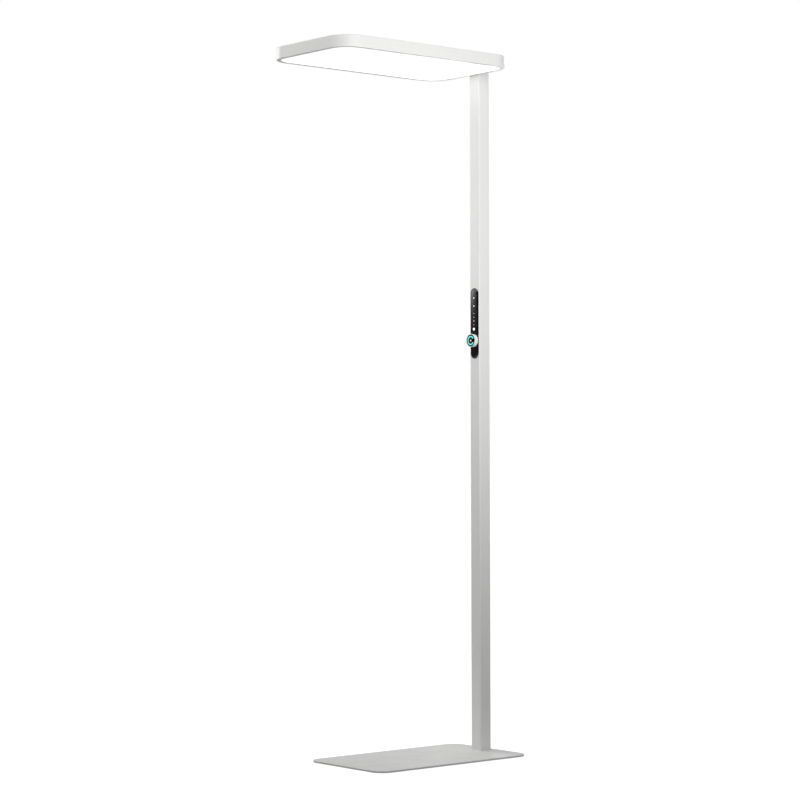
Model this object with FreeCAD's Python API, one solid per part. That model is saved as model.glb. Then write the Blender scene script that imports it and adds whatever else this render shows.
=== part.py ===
import FreeCAD, Part

import math
import os

from FreeCAD import Vector

# Office floor lamp: a flat rectangular light head on a square post, on a thin steel base plate.
# Millimetres. +Z is up, +X is right and -Y is the front, where the head overhangs and the
# control panel faces the user. The origin is on the floor, at the middle of the lamp's box.

# ---- Driving dimensions ----------------------------------------------------------------------

# Whole lamp
overall_height = 1950.0

# Base plate and the foam sheet under it
base_length = 540.0
base_width = 316.0
base_thickness = 5.0
base_corner_radius = 39.0
base_edge_chamfer = 0.6
base_back_margin = 21.0
underlay_thickness = 1.0
underlay_margin = 8.0
underlay_hole_radius = 8.0

# Post: square extruded tube
post_width = 40.0
post_wall = 2.0
post_corner_radius = 3.5
post_inner_radius = 1.5
cap_thickness = 2.0
cap_plug_depth = 5.0
cap_plug_wall = 2.0
cap_plug_inner_radius = 0.75
cap_edge_chamfer = 0.5

# Steel block that carries the post on the base
foot_block_height = 30.0
foot_screw_spacing = 20.0
foot_screw_radius = 3.0
foot_screw_head_radius = 5.8
foot_screw_length = 20.0
block_pin_screw_radius = 2.5
block_pin_screw_length = 12.0
block_pin_head_radius = 4.5
block_pin_head_height = 2.5
block_pin_screw_spacing = 18.0

# Cable inlet at the back of the post
inlet_height = 60.0
inlet_bore_radius = 3.7
inlet_sleeve_radius = 6.0
inlet_sleeve_length = 10.0
inlet_flange_radius = 9.0
inlet_flange_thickness = 3.0
inlet_flange_chamfer = 1.0
inlet_nut_across_flats = 17.0
inlet_nut_thickness = 3.0

# Light head: a bent aluminium profile filled with the optics
head_length = 606.0
head_width = 336.0
head_height = 33.0
head_corner_radius = 65.0
frame_wall = 1.8
frame_edge_chamfer = 0.8
lip_width = 13.0
lip_thickness = 1.6
lip_edge_chamfer = 0.4
channel_ledge = 2.4
channel_slot = 2.6
channel_wall = 1.2
channel_depth = 4.8

# Optics, from the light opening upwards
diffuser_thickness = 2.0
guide_thickness = 3.0
reflector_thickness = 0.5
strip_thickness = 1.0
strip_height = 4.0
chip_depth = 1.2
chip_height = 2.4
chip_length = 5.0
chip_count = 20
chip_gap = 0.4

# Tray with the electrical gear
tray_thickness = 1.2
tray_flange_height = 8.0
tray_notch_clearance = 0.8
driver_length = 230.0
driver_width = 52.0
driver_height = 17.0
driver_ear_length = 12.0
driver_ear_width = 26.0
driver_ear_thickness = 2.0
driver_edge_chamfer = 1.5
driver_setback = 30.0
terminal_length = 22.0
terminal_width = 46.0
terminal_height = 14.0
terminal_setback = 60.0
terminal_way_count = 6
terminal_entry_side = 4.0
terminal_entry_depth = 7.0
spacer_radius = 4.0
spacer_inset = 33.0
spacer_end_inset = 110.0

# Upward light
window_width = 60.0
window_side_inset = 53.0
window_end_inset = 88.0
window_corner_radius = 8.0
window_lap = 5.0
window_pane_thickness = 2.0
uplight_board_end_gap = 5.0
uplight_board_width = 18.0
board_thickness = 1.6
uplight_chip_side = 3.5
uplight_chip_height = 0.8
uplight_chip_count = 20

# Top cover
cover_thickness = 1.5
cover_recess = 0.2
cover_screw_radius = 1.25
cover_screw_head_radius = 2.7
cover_screw_length = 5.5
cover_screw_spacing = 200.0

# Bracket and bolts between head and post
bracket_width = 100.0
bracket_thickness = 4.0
bracket_foot_length = 40.0
bracket_screw_spacing = 76.0
bolt_height = 17.0
bolt_spacing = 24.0
bolt_radius = 2.5
bolt_head_radius = 4.25
bolt_head_height = 5.0
nut_plate_height = 14.0
nut_plate_thickness = 5.0
wire_hole_radius = 5.0
gear_screw_radius = 2.0
gear_screw_head_radius = 3.6
gear_screw_head_height = 2.2

# Control panel on the front of the post
panel_height = 200.0
panel_width = 33.0
panel_thickness = 3.0
panel_edge_thickness = 0.8
panel_bevel_width = 4.2
panel_centre_height = 1213.0
panel_seat = 3.5
housing_wall = 1.6
housing_depth = 14.6
housing_hook = 1.0
housing_hook_length = 14.0
housing_hook_thickness = 1.6
housing_hook_spacing = 67.0
control_board_depth = 9.5
board_boss_radius = 2.2
board_screw_radius = 1.0
board_screw_head_radius = 1.9
board_screw_head_height = 1.2
board_screw_from_top = 15.0
board_screw_from_bottom = 30.0
board_lead_hole_radius = 3.2
connector_width = 10.0
connector_height = 8.0
connector_depth = 6.0
connector_from_top = 40.0

# Indicators, measured from the panel's top end
mode_light_from_top = 28.0
mode_light_pitch = 23.0
mode_light_count = 2
mode_light_radius = 2.0
level_light_from_top = 72.0
level_light_pitch = 10.7
level_light_count = 4
level_light_radius = 1.1
motion_lens_from_top = 116.5
motion_lens_radius = 4.0
motion_lens_rise = 1.0
motion_lens_flange = 1.2
motion_lens_wall = 0.8
motion_lens_web = 1.0
motion_sensor_height = 4.2
motion_sensor_flange_thickness = 0.5
daylight_sensor_from_bottom = 18.5
daylight_sensor_radius = 1.6
indicator_led_height = 1.2
indicator_led_per_radius = 1.5

# Knob: a white ring that turns about a fixed round display, and pushes in with it
knob_from_bottom = 51.0
knob_radius = 18.5
knob_length = 11.5
knob_rim = 1.4
knob_edge_chamfer = 0.4
knob_face_recess = 0.3
push_travel = 0.6
knob_glass_thickness = 1.2
knob_glass_bevel = 0.3
knob_display_thickness = 2.4
knob_display_radius = 15.2
core_floor_thickness = 1.6
core_hub_radius = 11.0
ring_web_thickness = 2.5
ring_skirt_wall = 1.8
retainer_thickness = 0.8
retainer_radius = 13.5
magnet_inner_radius = 14.0
magnet_thickness = 1.5
stem_radius = 4.0
stem_flat = 3.2
stem_bore_radius = 1.6
bush_radius = 6.5
bush_nose = 0.5
bush_flange_radius = 8.6
bush_flange_thickness = 1.5
bush_length = 7.0
press_plate_thickness = 1.5
press_plate_width = 10.0
press_plate_margin = 1.0
switch_offset = 10.0
switch_side = 6.0
switch_height = 3.0
switch_floor = 0.4
plunger_radius = 1.7

# Control cable inside the post: a flat ribbon
cable_width = 8.0
cable_thickness = 1.3
cable_wall_distance = 2.0
cable_lower_bend = 10.0
cable_upper_bend = 14.0
clip_count = 4
clip_height = 8.0
clip_wall = 1.2

# Screw sockets, over the screw's radius and over the head's height
socket_per_radius = 1.4
socket_depth_share = 0.6

# Clearances
fit_clearance = 0.15
loose_clearance = 0.4
thread_clearance = 0.05
screw_hole_clearance = 0.3
running_clearance = 0.05
air_gap = 0.25

# ---- Places worked out from them ---------------------------------------------------------------

base_top = underlay_thickness + base_thickness
post_centre = (head_length - base_back_margin) / 2
post_front = post_centre - post_width / 2
post_back = post_centre + post_width / 2
post_top = overall_height - cap_thickness
post_bore = post_width - 2 * post_wall
base_centre = post_back + base_back_margin - base_length / 2

head_bottom = overall_height - head_height
head_centre = post_front - head_length / 2
channel_inner = frame_wall + channel_ledge + channel_slot + channel_wall
channel_middle = frame_wall + channel_ledge + channel_slot / 2
cover_bottom = overall_height - cover_recess - cover_thickness
diffuser_bottom = head_bottom + lip_thickness
guide_bottom = diffuser_bottom + diffuser_thickness
reflector_bottom = guide_bottom + guide_thickness
tray_bottom = reflector_bottom + reflector_thickness
tray_top = tray_bottom + tray_thickness
strip_inset = frame_wall + loose_clearance
chip_inset = strip_inset + strip_thickness
guide_inset = chip_inset + chip_depth + chip_gap
tray_inset = channel_inner + loose_clearance
bolt_level = head_bottom + bolt_height
bracket_front = post_front - frame_wall - bracket_thickness
window_centre = head_width / 2 - window_side_inset - window_width / 2
window_length = head_length - 2 * window_end_inset
uplight_board_length = window_length - 2 * uplight_board_end_gap

panel_top = panel_centre_height + panel_height / 2
panel_bottom = panel_centre_height - panel_height / 2
panel_face = post_front - panel_thickness
knob_level = panel_bottom + knob_from_bottom
board_front = post_front + control_board_depth
board_back = board_front + board_thickness
housing_back = post_front + housing_depth

knob_back = panel_face - 2 * push_travel
knob_front = knob_back - knob_length
glass_front = knob_front + knob_face_recess
display_front = glass_front + knob_glass_thickness
core_front = display_front + knob_display_thickness
core_back = core_front + core_floor_thickness
web_front = core_back + air_gap
web_back = web_front + ring_web_thickness
retainer_front = web_back + air_gap
hub_back = retainer_front + retainer_thickness
bush_back = panel_face - bush_nose + bush_length
plate_front = bush_back + air_gap
plate_back = plate_front + press_plate_thickness
glass_radius = knob_radius - knob_rim - air_gap
switch_level = knob_level - switch_offset

connector_level = panel_top - connector_from_top
cable_line = post_back - post_wall - cable_wall_distance


# ---- Helpers ------------------------------------------------------------------------------------

def box(x_size, y_size, z_size, x_centre, y_low, z_low):
    """A block that is centred in X and starts at the given Y and Z."""
    return Part.makeBox(x_size, y_size, z_size, Vector(x_centre - x_size / 2, y_low, z_low))


def rod(radius, length, x, y, z, direction):
    """A cylinder that starts at a point and runs in a direction."""
    return Part.makeCylinder(radius, length, Vector(x, y, z), direction)


UP = Vector(0, 0, 1)
BACK = Vector(0, 1, 0)
FRONT = Vector(0, -1, 0)


def rounded_outline(x_size, y_size, radius, y_centre, z):
    """A level rectangle with round corners, centred in X."""
    a = x_size / 2
    b = y_size / 2
    k = radius * (1 - math.sqrt(0.5))
    edges = []
    corners = [(1, 1), (-1, 1), (-1, -1), (1, -1)]
    for i, (sx, sy) in enumerate(corners):
        along_y = Vector(sx * a, y_centre + sy * (b - radius), z)
        along_x = Vector(sx * (a - radius), y_centre + sy * b, z)
        middle = Vector(sx * (a - k), y_centre + sy * (b - k), z)
        first = along_y if i % 2 == 0 else along_x
        last = along_x if i % 2 == 0 else along_y
        edges.append(Part.Arc(first, middle, last).toShape())
        nx, ny = corners[(i + 1) % 4]
        if i % 2 == 0:
            following = Vector(nx * (a - radius), y_centre + ny * b, z)
        else:
            following = Vector(nx * a, y_centre + ny * (b - radius), z)
        edges.append(Part.LineSegment(last, following).toShape())
    return Part.Wire(edges)


def rounded_plate(x_size, y_size, radius, y_centre, z, thickness):
    """A level plate with round corners."""
    face = Part.Face(rounded_outline(x_size, y_size, radius, y_centre, z))
    return face.extrude(Vector(0, 0, thickness))


def head_layer(inset, z, thickness):
    """A plate that follows the head's outline, inset from its outside."""
    radius = head_corner_radius - inset
    return rounded_plate(head_width - 2 * inset, head_length - 2 * inset, radius, head_centre, z, thickness)


def stadium(width, height, y, z_centre):
    """An upright outline with half-round ends, in a plane that faces the front."""
    r = width / 2
    top = z_centre + height / 2 - r
    low = z_centre - height / 2 + r
    right_side = Part.LineSegment(Vector(r, y, low), Vector(r, y, top)).toShape()
    upper_end = Part.Arc(Vector(r, y, top), Vector(0, y, top + r), Vector(-r, y, top)).toShape()
    left_side = Part.LineSegment(Vector(-r, y, top), Vector(-r, y, low)).toShape()
    lower_end = Part.Arc(Vector(-r, y, low), Vector(0, y, low - r), Vector(r, y, low)).toShape()
    return Part.Wire([right_side, upper_end, left_side, lower_end])


def stadium_block(width, height, y_front, depth):
    """A solid stadium, centred on the control panel."""
    outline = stadium(width, height, y_front, panel_centre_height)
    return Part.Face(outline).extrude(Vector(0, depth, 0))


def turned(profile, x, y, z, direction):
    """A solid of revolution from (radius, distance) points, about a line from a point in a direction."""
    points = [Vector(r, 0, distance) for r, distance in profile]
    face = Part.Face(Part.makePolygon(points + [points[0]]))
    solid = face.revolve(Vector(0, 0, 0), UP, 360)
    solid.Placement = FreeCAD.Placement(Vector(x, y, z), FreeCAD.Rotation(UP, direction))
    return solid


def hexagon(across_flats, length, x, y, z, direction):
    """A hexagonal bar that starts at a point and runs in a direction."""
    corner = across_flats / math.sqrt(3)
    points = []
    for i in range(6):
        angle = math.radians(60 * i)
        points.append(Vector(corner * math.cos(angle), corner * math.sin(angle), 0))
    face = Part.Face(Part.makePolygon(points + [points[0]]))
    bar = face.extrude(Vector(0, 0, length))
    bar.Placement = FreeCAD.Placement(Vector(x, y, z), FreeCAD.Rotation(UP, direction))
    return bar


def flat_head_screw(radius, head_radius, length, x, y, z, direction):
    """A countersunk socket screw: its head's face is at the point, its shank runs in the direction."""
    sink = head_radius - radius
    profile = [(0, 0), (head_radius, 0), (radius, sink), (radius, length), (0, length)]
    screw = turned(profile, x, y, z, direction)
    return screw.cut(hexagon(socket_per_radius * radius, socket_depth_share * sink, x, y, z, direction))


def cap_screw(radius, head_radius, head_height, length, x, y, z, direction):
    """A cap screw: the point is under its head, its shank runs in the direction."""
    start = Vector(x, y, z) - direction * head_height
    whole = head_height + length
    head = [(0, 0), (head_radius, 0), (head_radius, head_height)]
    shank = [(radius, head_height), (radius, whole), (0, whole)]
    screw = turned(head + shank, start.x, start.y, start.z, direction)
    depth = socket_depth_share * head_height
    return screw.cut(hexagon(socket_per_radius * radius, depth, start.x, start.y, start.z, direction))


def fused(first, others):
    """One solid from touching ones."""
    return first.fuse(others).removeSplitter()


def save(node, shapes):
    """Writes one piece, or a group of like pieces, as one node."""
    shape = shapes if not isinstance(shapes, list) else Part.makeCompound(shapes)
    shape.exportStep("parts/" + node + ".step")
    print(node, len(shape.Solids), "solids", round(shape.Volume / 1000, 2), "cm3", shape.isValid())


# ---- Base ---------------------------------------------------------------------------------------

def foot_screw_places():
    """The four base screws, on a square about the post's axis."""
    half = foot_screw_spacing / 2
    return [(sx * half, post_centre + sy * half) for sx in (-1, 1) for sy in (-1, 1)]


def base_plate():
    """Laser-cut steel plate with broken edges and countersunk holes in its underside."""
    plate = rounded_plate(
        base_width, base_length, base_corner_radius, base_centre, underlay_thickness, base_thickness
    )
    rims = []
    for edge in plate.Edges:
        level = edge.BoundBox
        if level.ZLength < 0.001:
            rims.append(edge)
    plate = plate.makeChamfer(base_edge_chamfer, rims)
    hole = foot_screw_radius + screw_hole_clearance
    sink = foot_screw_head_radius + screw_hole_clearance
    for x, y in foot_screw_places():
        plate = plate.cut(rod(hole, base_thickness, x, y, underlay_thickness, UP))
        plate = plate.cut(Part.makeCone(sink, hole, sink - hole, Vector(x, y, underlay_thickness), UP))
    return plate


def base_underlay():
    """Foam sheet that the lamp stands on, open at the screws."""
    sheet = rounded_plate(
        base_width - 2 * underlay_margin,
        base_length - 2 * underlay_margin,
        base_corner_radius - underlay_margin,
        base_centre,
        0,
        underlay_thickness,
    )
    for x, y in foot_screw_places():
        sheet = sheet.cut(rod(underlay_hole_radius, underlay_thickness, x, y, 0, UP))
    return sheet


def base_screws():
    """Countersunk screws from below, through the plate into the foot block."""
    screws = []
    for x, y in foot_screw_places():
        screws.append(
            flat_head_screw(
                foot_screw_radius, foot_screw_head_radius, foot_screw_length, x, y, underlay_thickness, UP
            )
        )
    return screws


# ---- Post ---------------------------------------------------------------------------------------

def block_pin_places():
    """The two screws through the post's back wall into the foot block."""
    level = underlay_thickness + foot_screw_length + 2 * block_pin_screw_radius
    return [(side * block_pin_screw_spacing / 2, level) for side in (-1, 1)]


def bolt_places():
    """The two bolts between head and post."""
    return [-bolt_spacing / 2, bolt_spacing / 2]


def post_profile():
    """Square tube with its openings for the panel, the head's bolts and wires, and the cable inlet."""
    length = post_top - base_top
    outside = rounded_plate(post_width, post_width, post_corner_radius, post_centre, base_top, length)
    inside = rounded_plate(post_bore, post_bore, post_inner_radius, post_centre, base_top, length)
    tube = outside.cut(inside)
    tube = tube.cut(
        stadium_block(panel_width - 2 * panel_seat, panel_height - 2 * panel_seat, post_front, post_wall)
    )
    bolt_hole = bolt_radius + screw_hole_clearance
    for x in bolt_places():
        tube = tube.cut(rod(bolt_hole, post_wall, x, post_front, bolt_level, BACK))
    tube = tube.cut(rod(wire_hole_radius, post_wall, 0, post_front, bolt_level, BACK))
    inlet = inlet_sleeve_radius + fit_clearance
    tube = tube.cut(rod(inlet, post_wall, 0, post_back - post_wall, base_top + inlet_height, BACK))
    pin_hole = block_pin_screw_radius + screw_hole_clearance
    for x, z in block_pin_places():
        tube = tube.cut(rod(pin_hole, post_wall, x, post_back - post_wall, z, BACK))
    return tube


def foot_block():
    """Steel block in the bottom of the tube, tapped for the base screws and the back screws."""
    side = post_bore - 2 * fit_clearance
    block = rounded_plate(side, side, post_inner_radius, post_centre, base_top, foot_block_height)
    tapped = foot_screw_radius + thread_clearance
    for x, y in foot_screw_places():
        block = block.cut(rod(tapped, foot_screw_length, x, y, base_top, UP))
    cross = block_pin_screw_radius + thread_clearance
    for x, z in block_pin_places():
        block = block.cut(rod(cross, block_pin_screw_length, x, post_back, z, FRONT))
    return block


def foot_block_screws():
    """Button-head screws in the post's back, which tie the tube to the block."""
    screws = []
    for x, z in block_pin_places():
        screws.append(
            cap_screw(
                block_pin_screw_radius,
                block_pin_head_radius,
                block_pin_head_height,
                block_pin_screw_length,
                x,
                post_back,
                z,
                FRONT,
            )
        )
    return screws


def post_cap():
    """Moulded cap: a flush plate with a hollow plug that grips inside the tube."""
    plate = rounded_plate(post_width, post_width, post_corner_radius, post_centre, post_top, cap_thickness)
    side = post_bore - 2 * fit_clearance
    low = post_top - cap_plug_depth
    plug = rounded_plate(side, side, post_inner_radius, post_centre, low, cap_plug_depth)
    hollow_side = side - 2 * cap_plug_wall
    hollow = rounded_plate(hollow_side, hollow_side, cap_plug_inner_radius, post_centre, low, cap_plug_depth)
    cap = fused(plate, [plug.cut(hollow)])
    rim = []
    for edge in cap.Edges:
        if edge.BoundBox.ZMin > overall_height - 0.001:
            rim.append(edge)
    return cap.makeChamfer(cap_edge_chamfer, rim)


def cable_inlet():
    """Moulded bush in the post's back wall, through which a mains lead enters."""
    profile = [
        (inlet_bore_radius, -inlet_sleeve_length),
        (inlet_sleeve_radius, -inlet_sleeve_length),
        (inlet_sleeve_radius, 0),
        (inlet_flange_radius, 0),
        (inlet_flange_radius, inlet_flange_thickness - inlet_flange_chamfer),
        (inlet_flange_radius - inlet_flange_chamfer, inlet_flange_thickness),
        (inlet_bore_radius, inlet_flange_thickness),
    ]
    return turned(profile, 0, post_back, base_top + inlet_height, BACK)


def cable_inlet_nut():
    """Hexagonal nut that holds the bush from inside the tube."""
    level = base_top + inlet_height
    wall = post_back - post_wall
    nut = hexagon(inlet_nut_across_flats, inlet_nut_thickness, 0, wall, level, FRONT)
    return nut.cut(rod(inlet_sleeve_radius + thread_clearance, inlet_nut_thickness, 0, wall, level, FRONT))


# ---- Light head: frame --------------------------------------------------------------------------

def frame_section():
    """Closed section of the head's profile, at the middle of the right-hand side.

    From outside in: a wall with broken edges, the lip that holds the optics below, and above
    a screw channel whose top carries the cover. Points are (inset from the outside, height).
    """
    e = frame_edge_chamfer
    top = head_height
    seat = cover_bottom - head_bottom
    slot_start = frame_wall + channel_ledge
    slot_end = slot_start + channel_slot
    slot_low = seat - channel_depth
    x_out = head_width / 2

    corners = [
        (e, 0),
        (0, e),
        (0, top - e),
        (e, top),
        (frame_wall, top),
        (frame_wall, seat),
        (slot_start, seat),
        (slot_start, slot_low),
        (slot_end, slot_low),
        (slot_end, seat),
        (channel_inner, seat),
        (channel_inner, slot_low - channel_wall),
        (slot_start, slot_low - channel_wall),
        (frame_wall, slot_low - channel_wall - channel_ledge),
        (frame_wall, lip_thickness),
        (lip_width, lip_thickness),
        (lip_width, lip_edge_chamfer),
        (lip_width - lip_edge_chamfer, 0),
        (e, 0),
    ]
    points = [Vector(x_out - inset, head_centre, head_bottom + height) for inset, height in corners]
    return Part.makePolygon(points)


def head_frame():
    """The profile, carried along the four straight sides and turned through the four corners."""
    section = Part.Face(frame_section())
    r = head_corner_radius
    half_x = head_width / 2
    half_y = head_length / 2
    long_side = head_length - 2 * r
    short_side = head_width - 2 * r
    side = section.translated(Vector(0, -long_side / 2, 0)).extrude(Vector(0, long_side, 0))
    corner = section.translated(Vector(0, long_side / 2, 0)).revolve(
        Vector(half_x - r, head_centre + half_y - r, 0), UP, 90
    )
    end_section = section.copy()
    end_section.rotate(Vector(0, head_centre, 0), UP, 90)
    end_section = end_section.translated(Vector(short_side / 2, half_y - half_x, 0))
    end = end_section.extrude(Vector(-short_side, 0, 0))
    quarter_set = [side, corner, end]
    middle = Vector(0, head_centre, 0)
    across = Vector(1, 0, 0)
    pieces = list(quarter_set)
    pieces.append(side.mirror(middle, across))
    pieces.append(corner.mirror(middle, across))
    pieces.append(corner.mirror(middle, BACK))
    pieces.append(corner.mirror(middle, across).mirror(middle, BACK))
    pieces.append(end.mirror(middle, BACK))
    frame = fused(pieces[0], pieces[1:])
    bolt_hole = bolt_radius + screw_hole_clearance
    inner_face = post_front - frame_wall
    for x in bolt_places():
        frame = frame.cut(rod(bolt_hole, frame_wall, x, inner_face, bolt_level, BACK))
    return frame.cut(rod(wire_hole_radius, frame_wall, 0, inner_face, bolt_level, BACK))


# ---- Light head: optics -------------------------------------------------------------------------

def lower_diffuser():
    """Opal sheet that lies on the frame's lip and fills the light opening."""
    return head_layer(frame_wall + loose_clearance, diffuser_bottom, diffuser_thickness)


def light_guide():
    """Clear sheet, lit at its long edges."""
    return head_layer(guide_inset, guide_bottom, guide_thickness)


def reflector_sheet():
    """White sheet behind the light guide."""
    return head_layer(guide_inset, reflector_bottom, reflector_thickness)


def strip_length():
    """Length of a light strip: the straight part of the head's long side."""
    return head_length - 2 * head_corner_radius


def led_strips():
    """Two circuit strips on edge, along the long sides."""
    strips = []
    for side in (-1, 1):
        x = side * (head_width / 2 - strip_inset - strip_thickness / 2)
        low = head_centre - strip_length() / 2
        strips.append(box(strip_thickness, strip_length(), strip_height, x, low, guide_bottom))
    return strips


def led_chips():
    """Rows of light sources on the strips, facing the guide's edge."""
    chips = []
    pitch = strip_length() / chip_count
    z = guide_bottom + (guide_thickness - chip_height) / 2
    for side in (-1, 1):
        x = side * (head_width / 2 - chip_inset - chip_depth / 2)
        for i in range(chip_count):
            y = head_centre - strip_length() / 2 + (i + 0.5) * pitch - chip_length / 2
            chips.append(box(chip_depth, chip_length, chip_height, x, y, z))
    return chips


# ---- Light head: gear tray ----------------------------------------------------------------------

def gear_screw(x, y, z):
    """A pan-head screw that points down and ends level with the tray's underside."""
    down = Vector(0, 0, -1)
    length = z - tray_bottom
    return cap_screw(gear_screw_radius, gear_screw_head_radius, gear_screw_head_height, length, x, y, z, down)


def driver_screw_places():
    """One screw in each ear of the driver."""
    reach = driver_length / 2 + driver_ear_length / 2
    middle = head_centre - driver_setback
    return [(0, middle - reach), (0, middle + reach)]


def bracket_screw_places():
    """Two screws through the bracket's foot."""
    y = bracket_front - bracket_foot_length / 2
    return [(-bracket_screw_spacing / 2, y), (bracket_screw_spacing / 2, y)]


def gear_tray():
    """Folded sheet tray over the optics, with a raised rim that is notched for the bracket."""
    floor = head_layer(tray_inset, tray_bottom, tray_thickness)
    rim = head_layer(tray_inset, tray_top, tray_flange_height)
    rim = rim.cut(head_layer(tray_inset + tray_thickness, tray_top, tray_flange_height))
    tray = fused(floor, [rim])
    notch_depth = tray_inset + 2 * tray_thickness
    notch_width = bracket_width + 2 * tray_notch_clearance
    tray = tray.cut(
        box(notch_width, notch_depth, tray_flange_height, 0, post_front - notch_depth, tray_top)
    )
    hole = gear_screw_radius + thread_clearance
    for x, y in driver_screw_places() + bracket_screw_places():
        tray = tray.cut(rod(hole, tray_thickness, x, y, tray_bottom, UP))
    return tray


def led_driver():
    """Encased power supply with a fixing ear at each end."""
    middle = head_centre - driver_setback
    case = box(driver_width, driver_length, driver_height, 0, middle - driver_length / 2, tray_top)
    upper = []
    for edge in case.Edges:
        if edge.BoundBox.ZMax > tray_top + 0.001:
            upper.append(edge)
    case = case.makeChamfer(driver_edge_chamfer, upper)
    whole = driver_length + 2 * driver_ear_length
    ears = box(driver_ear_width, whole, driver_ear_thickness, 0, middle - whole / 2, tray_top)
    driver = fused(case, [ears])
    hole = gear_screw_radius + screw_hole_clearance
    for x, y in driver_screw_places():
        driver = driver.cut(rod(hole, driver_ear_thickness, x, y, tray_top, UP))
    return driver


def driver_screws():
    """Screws in the driver's ears."""
    return [gear_screw(x, y, tray_top + driver_ear_thickness) for x, y in driver_screw_places()]


def terminal_block():
    """Row of push-in terminals that joins the wiring from the post to the driver."""
    back = post_front - terminal_setback
    low = back - terminal_length
    block = box(terminal_width, terminal_length, terminal_height, 0, low, tray_top)
    pitch = terminal_width / terminal_way_count
    s = terminal_entry_side
    z = tray_top + (terminal_height - s) / 2
    for i in range(terminal_way_count):
        x = -terminal_width / 2 + (i + 0.5) * pitch
        block = block.cut(box(s, terminal_entry_depth, s, x, low, z))
    return block


def tray_spacers():
    """Hexagonal pillars between tray and cover, which press the optics down on the lip."""
    across_flats = 2 * spacer_radius
    height = cover_bottom - tray_top
    spacers = []
    for side in (-1, 1):
        for step in (-1, 0, 1):
            x = side * (head_width / 2 - spacer_inset)
            y = head_centre + step * (head_length / 2 - spacer_end_inset)
            spacers.append(hexagon(across_flats, height, x, y, tray_top, UP))
    return spacers


def uplight_boards():
    """Two circuit boards on the tray for the upward light."""
    boards = []
    for side in (-1, 1):
        x = side * window_centre
        low = head_centre - uplight_board_length / 2
        boards.append(box(uplight_board_width, uplight_board_length, board_thickness, x, low, tray_top))
    return boards


def uplight_chips():
    """Rows of light sources on those boards."""
    chips = []
    pitch = uplight_board_length / uplight_chip_count
    s = uplight_chip_side
    for side in (-1, 1):
        x = side * window_centre
        for i in range(uplight_chip_count):
            y = head_centre - uplight_board_length / 2 + (i + 0.5) * pitch - s / 2
            chips.append(box(s, s, uplight_chip_height, x, y, tray_top + board_thickness))
    return chips


# ---- Light head: cover --------------------------------------------------------------------------

def window(margin, z, thickness, side):
    """A plate over one upward light window, larger than it by a margin all round."""
    plate = rounded_plate(
        window_width + 2 * margin,
        window_length + 2 * margin,
        window_corner_radius + margin,
        head_centre,
        z,
        thickness,
    )
    return plate.translated(Vector(side * window_centre, 0, 0))


def cover_screw_places():
    """Screws round the cover, over the middle of the frame's screw channel."""
    x_side = head_width / 2 - channel_middle
    y_end = head_length / 2 - channel_middle
    places = []
    for sign in (-1, 1):
        places.append((0, head_centre + sign * y_end))
        for step in (-1, 0, 1):
            places.append((sign * x_side, head_centre + step * cover_screw_spacing))
    return places


def top_cover():
    """Sheet cover, let into the frame's top, with two windows and countersunk screw holes."""
    cover = head_layer(frame_wall + loose_clearance, cover_bottom, cover_thickness)
    for side in (-1, 1):
        cover = cover.cut(window(0, cover_bottom, cover_thickness, side))
    hole = cover_screw_radius + screw_hole_clearance
    sink = cover_screw_head_radius
    top = cover_bottom + cover_thickness
    down = Vector(0, 0, -1)
    for x, y in cover_screw_places():
        cover = cover.cut(rod(hole, cover_thickness, x, y, cover_bottom, UP))
        cover = cover.cut(Part.makeCone(sink, hole, sink - hole, Vector(x, y, top), down))
    return cover


def cover_screws():
    """Countersunk screws that cut into the frame's channel."""
    down = Vector(0, 0, -1)
    top = cover_bottom + cover_thickness
    head = cover_screw_head_radius - screw_hole_clearance
    screws = []
    for x, y in cover_screw_places():
        screws.append(flat_head_screw(cover_screw_radius, head, cover_screw_length, x, y, top, down))
    return screws


def upper_diffusers():
    """Panes under the cover's windows."""
    low = cover_bottom - window_pane_thickness
    return [window(window_lap, low, window_pane_thickness, side) for side in (-1, 1)]


# ---- Joint between head and post ----------------------------------------------------------------

def head_bracket():
    """Steel angle: its upright is bolted through the frame to the post, its foot to the tray."""
    channel_low = cover_bottom - channel_depth - channel_wall - channel_ledge
    height = channel_low - tray_top - loose_clearance
    upright = box(bracket_width, bracket_thickness, height, 0, bracket_front, tray_top)
    foot_low = bracket_front - bracket_foot_length
    foot = box(bracket_width, bracket_foot_length, bracket_thickness, 0, foot_low, tray_top)
    bracket = fused(upright, [foot])
    bolt_hole = bolt_radius + screw_hole_clearance
    for x in bolt_places():
        bracket = bracket.cut(rod(bolt_hole, bracket_thickness, x, bracket_front, bolt_level, BACK))
    wire_slot = rod(wire_hole_radius, bracket_thickness, 0, bracket_front, bolt_level, BACK)
    bracket = bracket.cut(wire_slot)
    hole = gear_screw_radius + screw_hole_clearance
    for x, y in bracket_screw_places():
        bracket = bracket.cut(rod(hole, bracket_thickness, x, y, tray_top, UP))
    return bracket


def bracket_screws():
    """Screws through the bracket's foot into the tray."""
    return [gear_screw(x, y, tray_top + bracket_thickness) for x, y in bracket_screw_places()]


def head_nut_plate():
    """Tapped steel plate behind the post's front wall, clear of the tube's inner corners."""
    width = post_bore - 2 * (post_inner_radius + fit_clearance)
    y = post_front + post_wall
    z = bolt_level - nut_plate_height / 2
    plate = box(width, nut_plate_thickness, nut_plate_height, 0, y, z)
    for x in bolt_places():
        plate = plate.cut(rod(bolt_radius + thread_clearance, nut_plate_thickness, x, y, bolt_level, BACK))
    return plate.cut(rod(wire_hole_radius, nut_plate_thickness, 0, y, bolt_level, BACK))


def head_bolts():
    """Cap screws from inside the head into the plate in the post."""
    length = bracket_thickness + frame_wall + post_wall + nut_plate_thickness
    bolts = []
    for x in bolt_places():
        bolts.append(
            cap_screw(
                bolt_radius, bolt_head_radius, bolt_head_height, length, x, bracket_front, bolt_level, BACK
            )
        )
    return bolts


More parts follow.
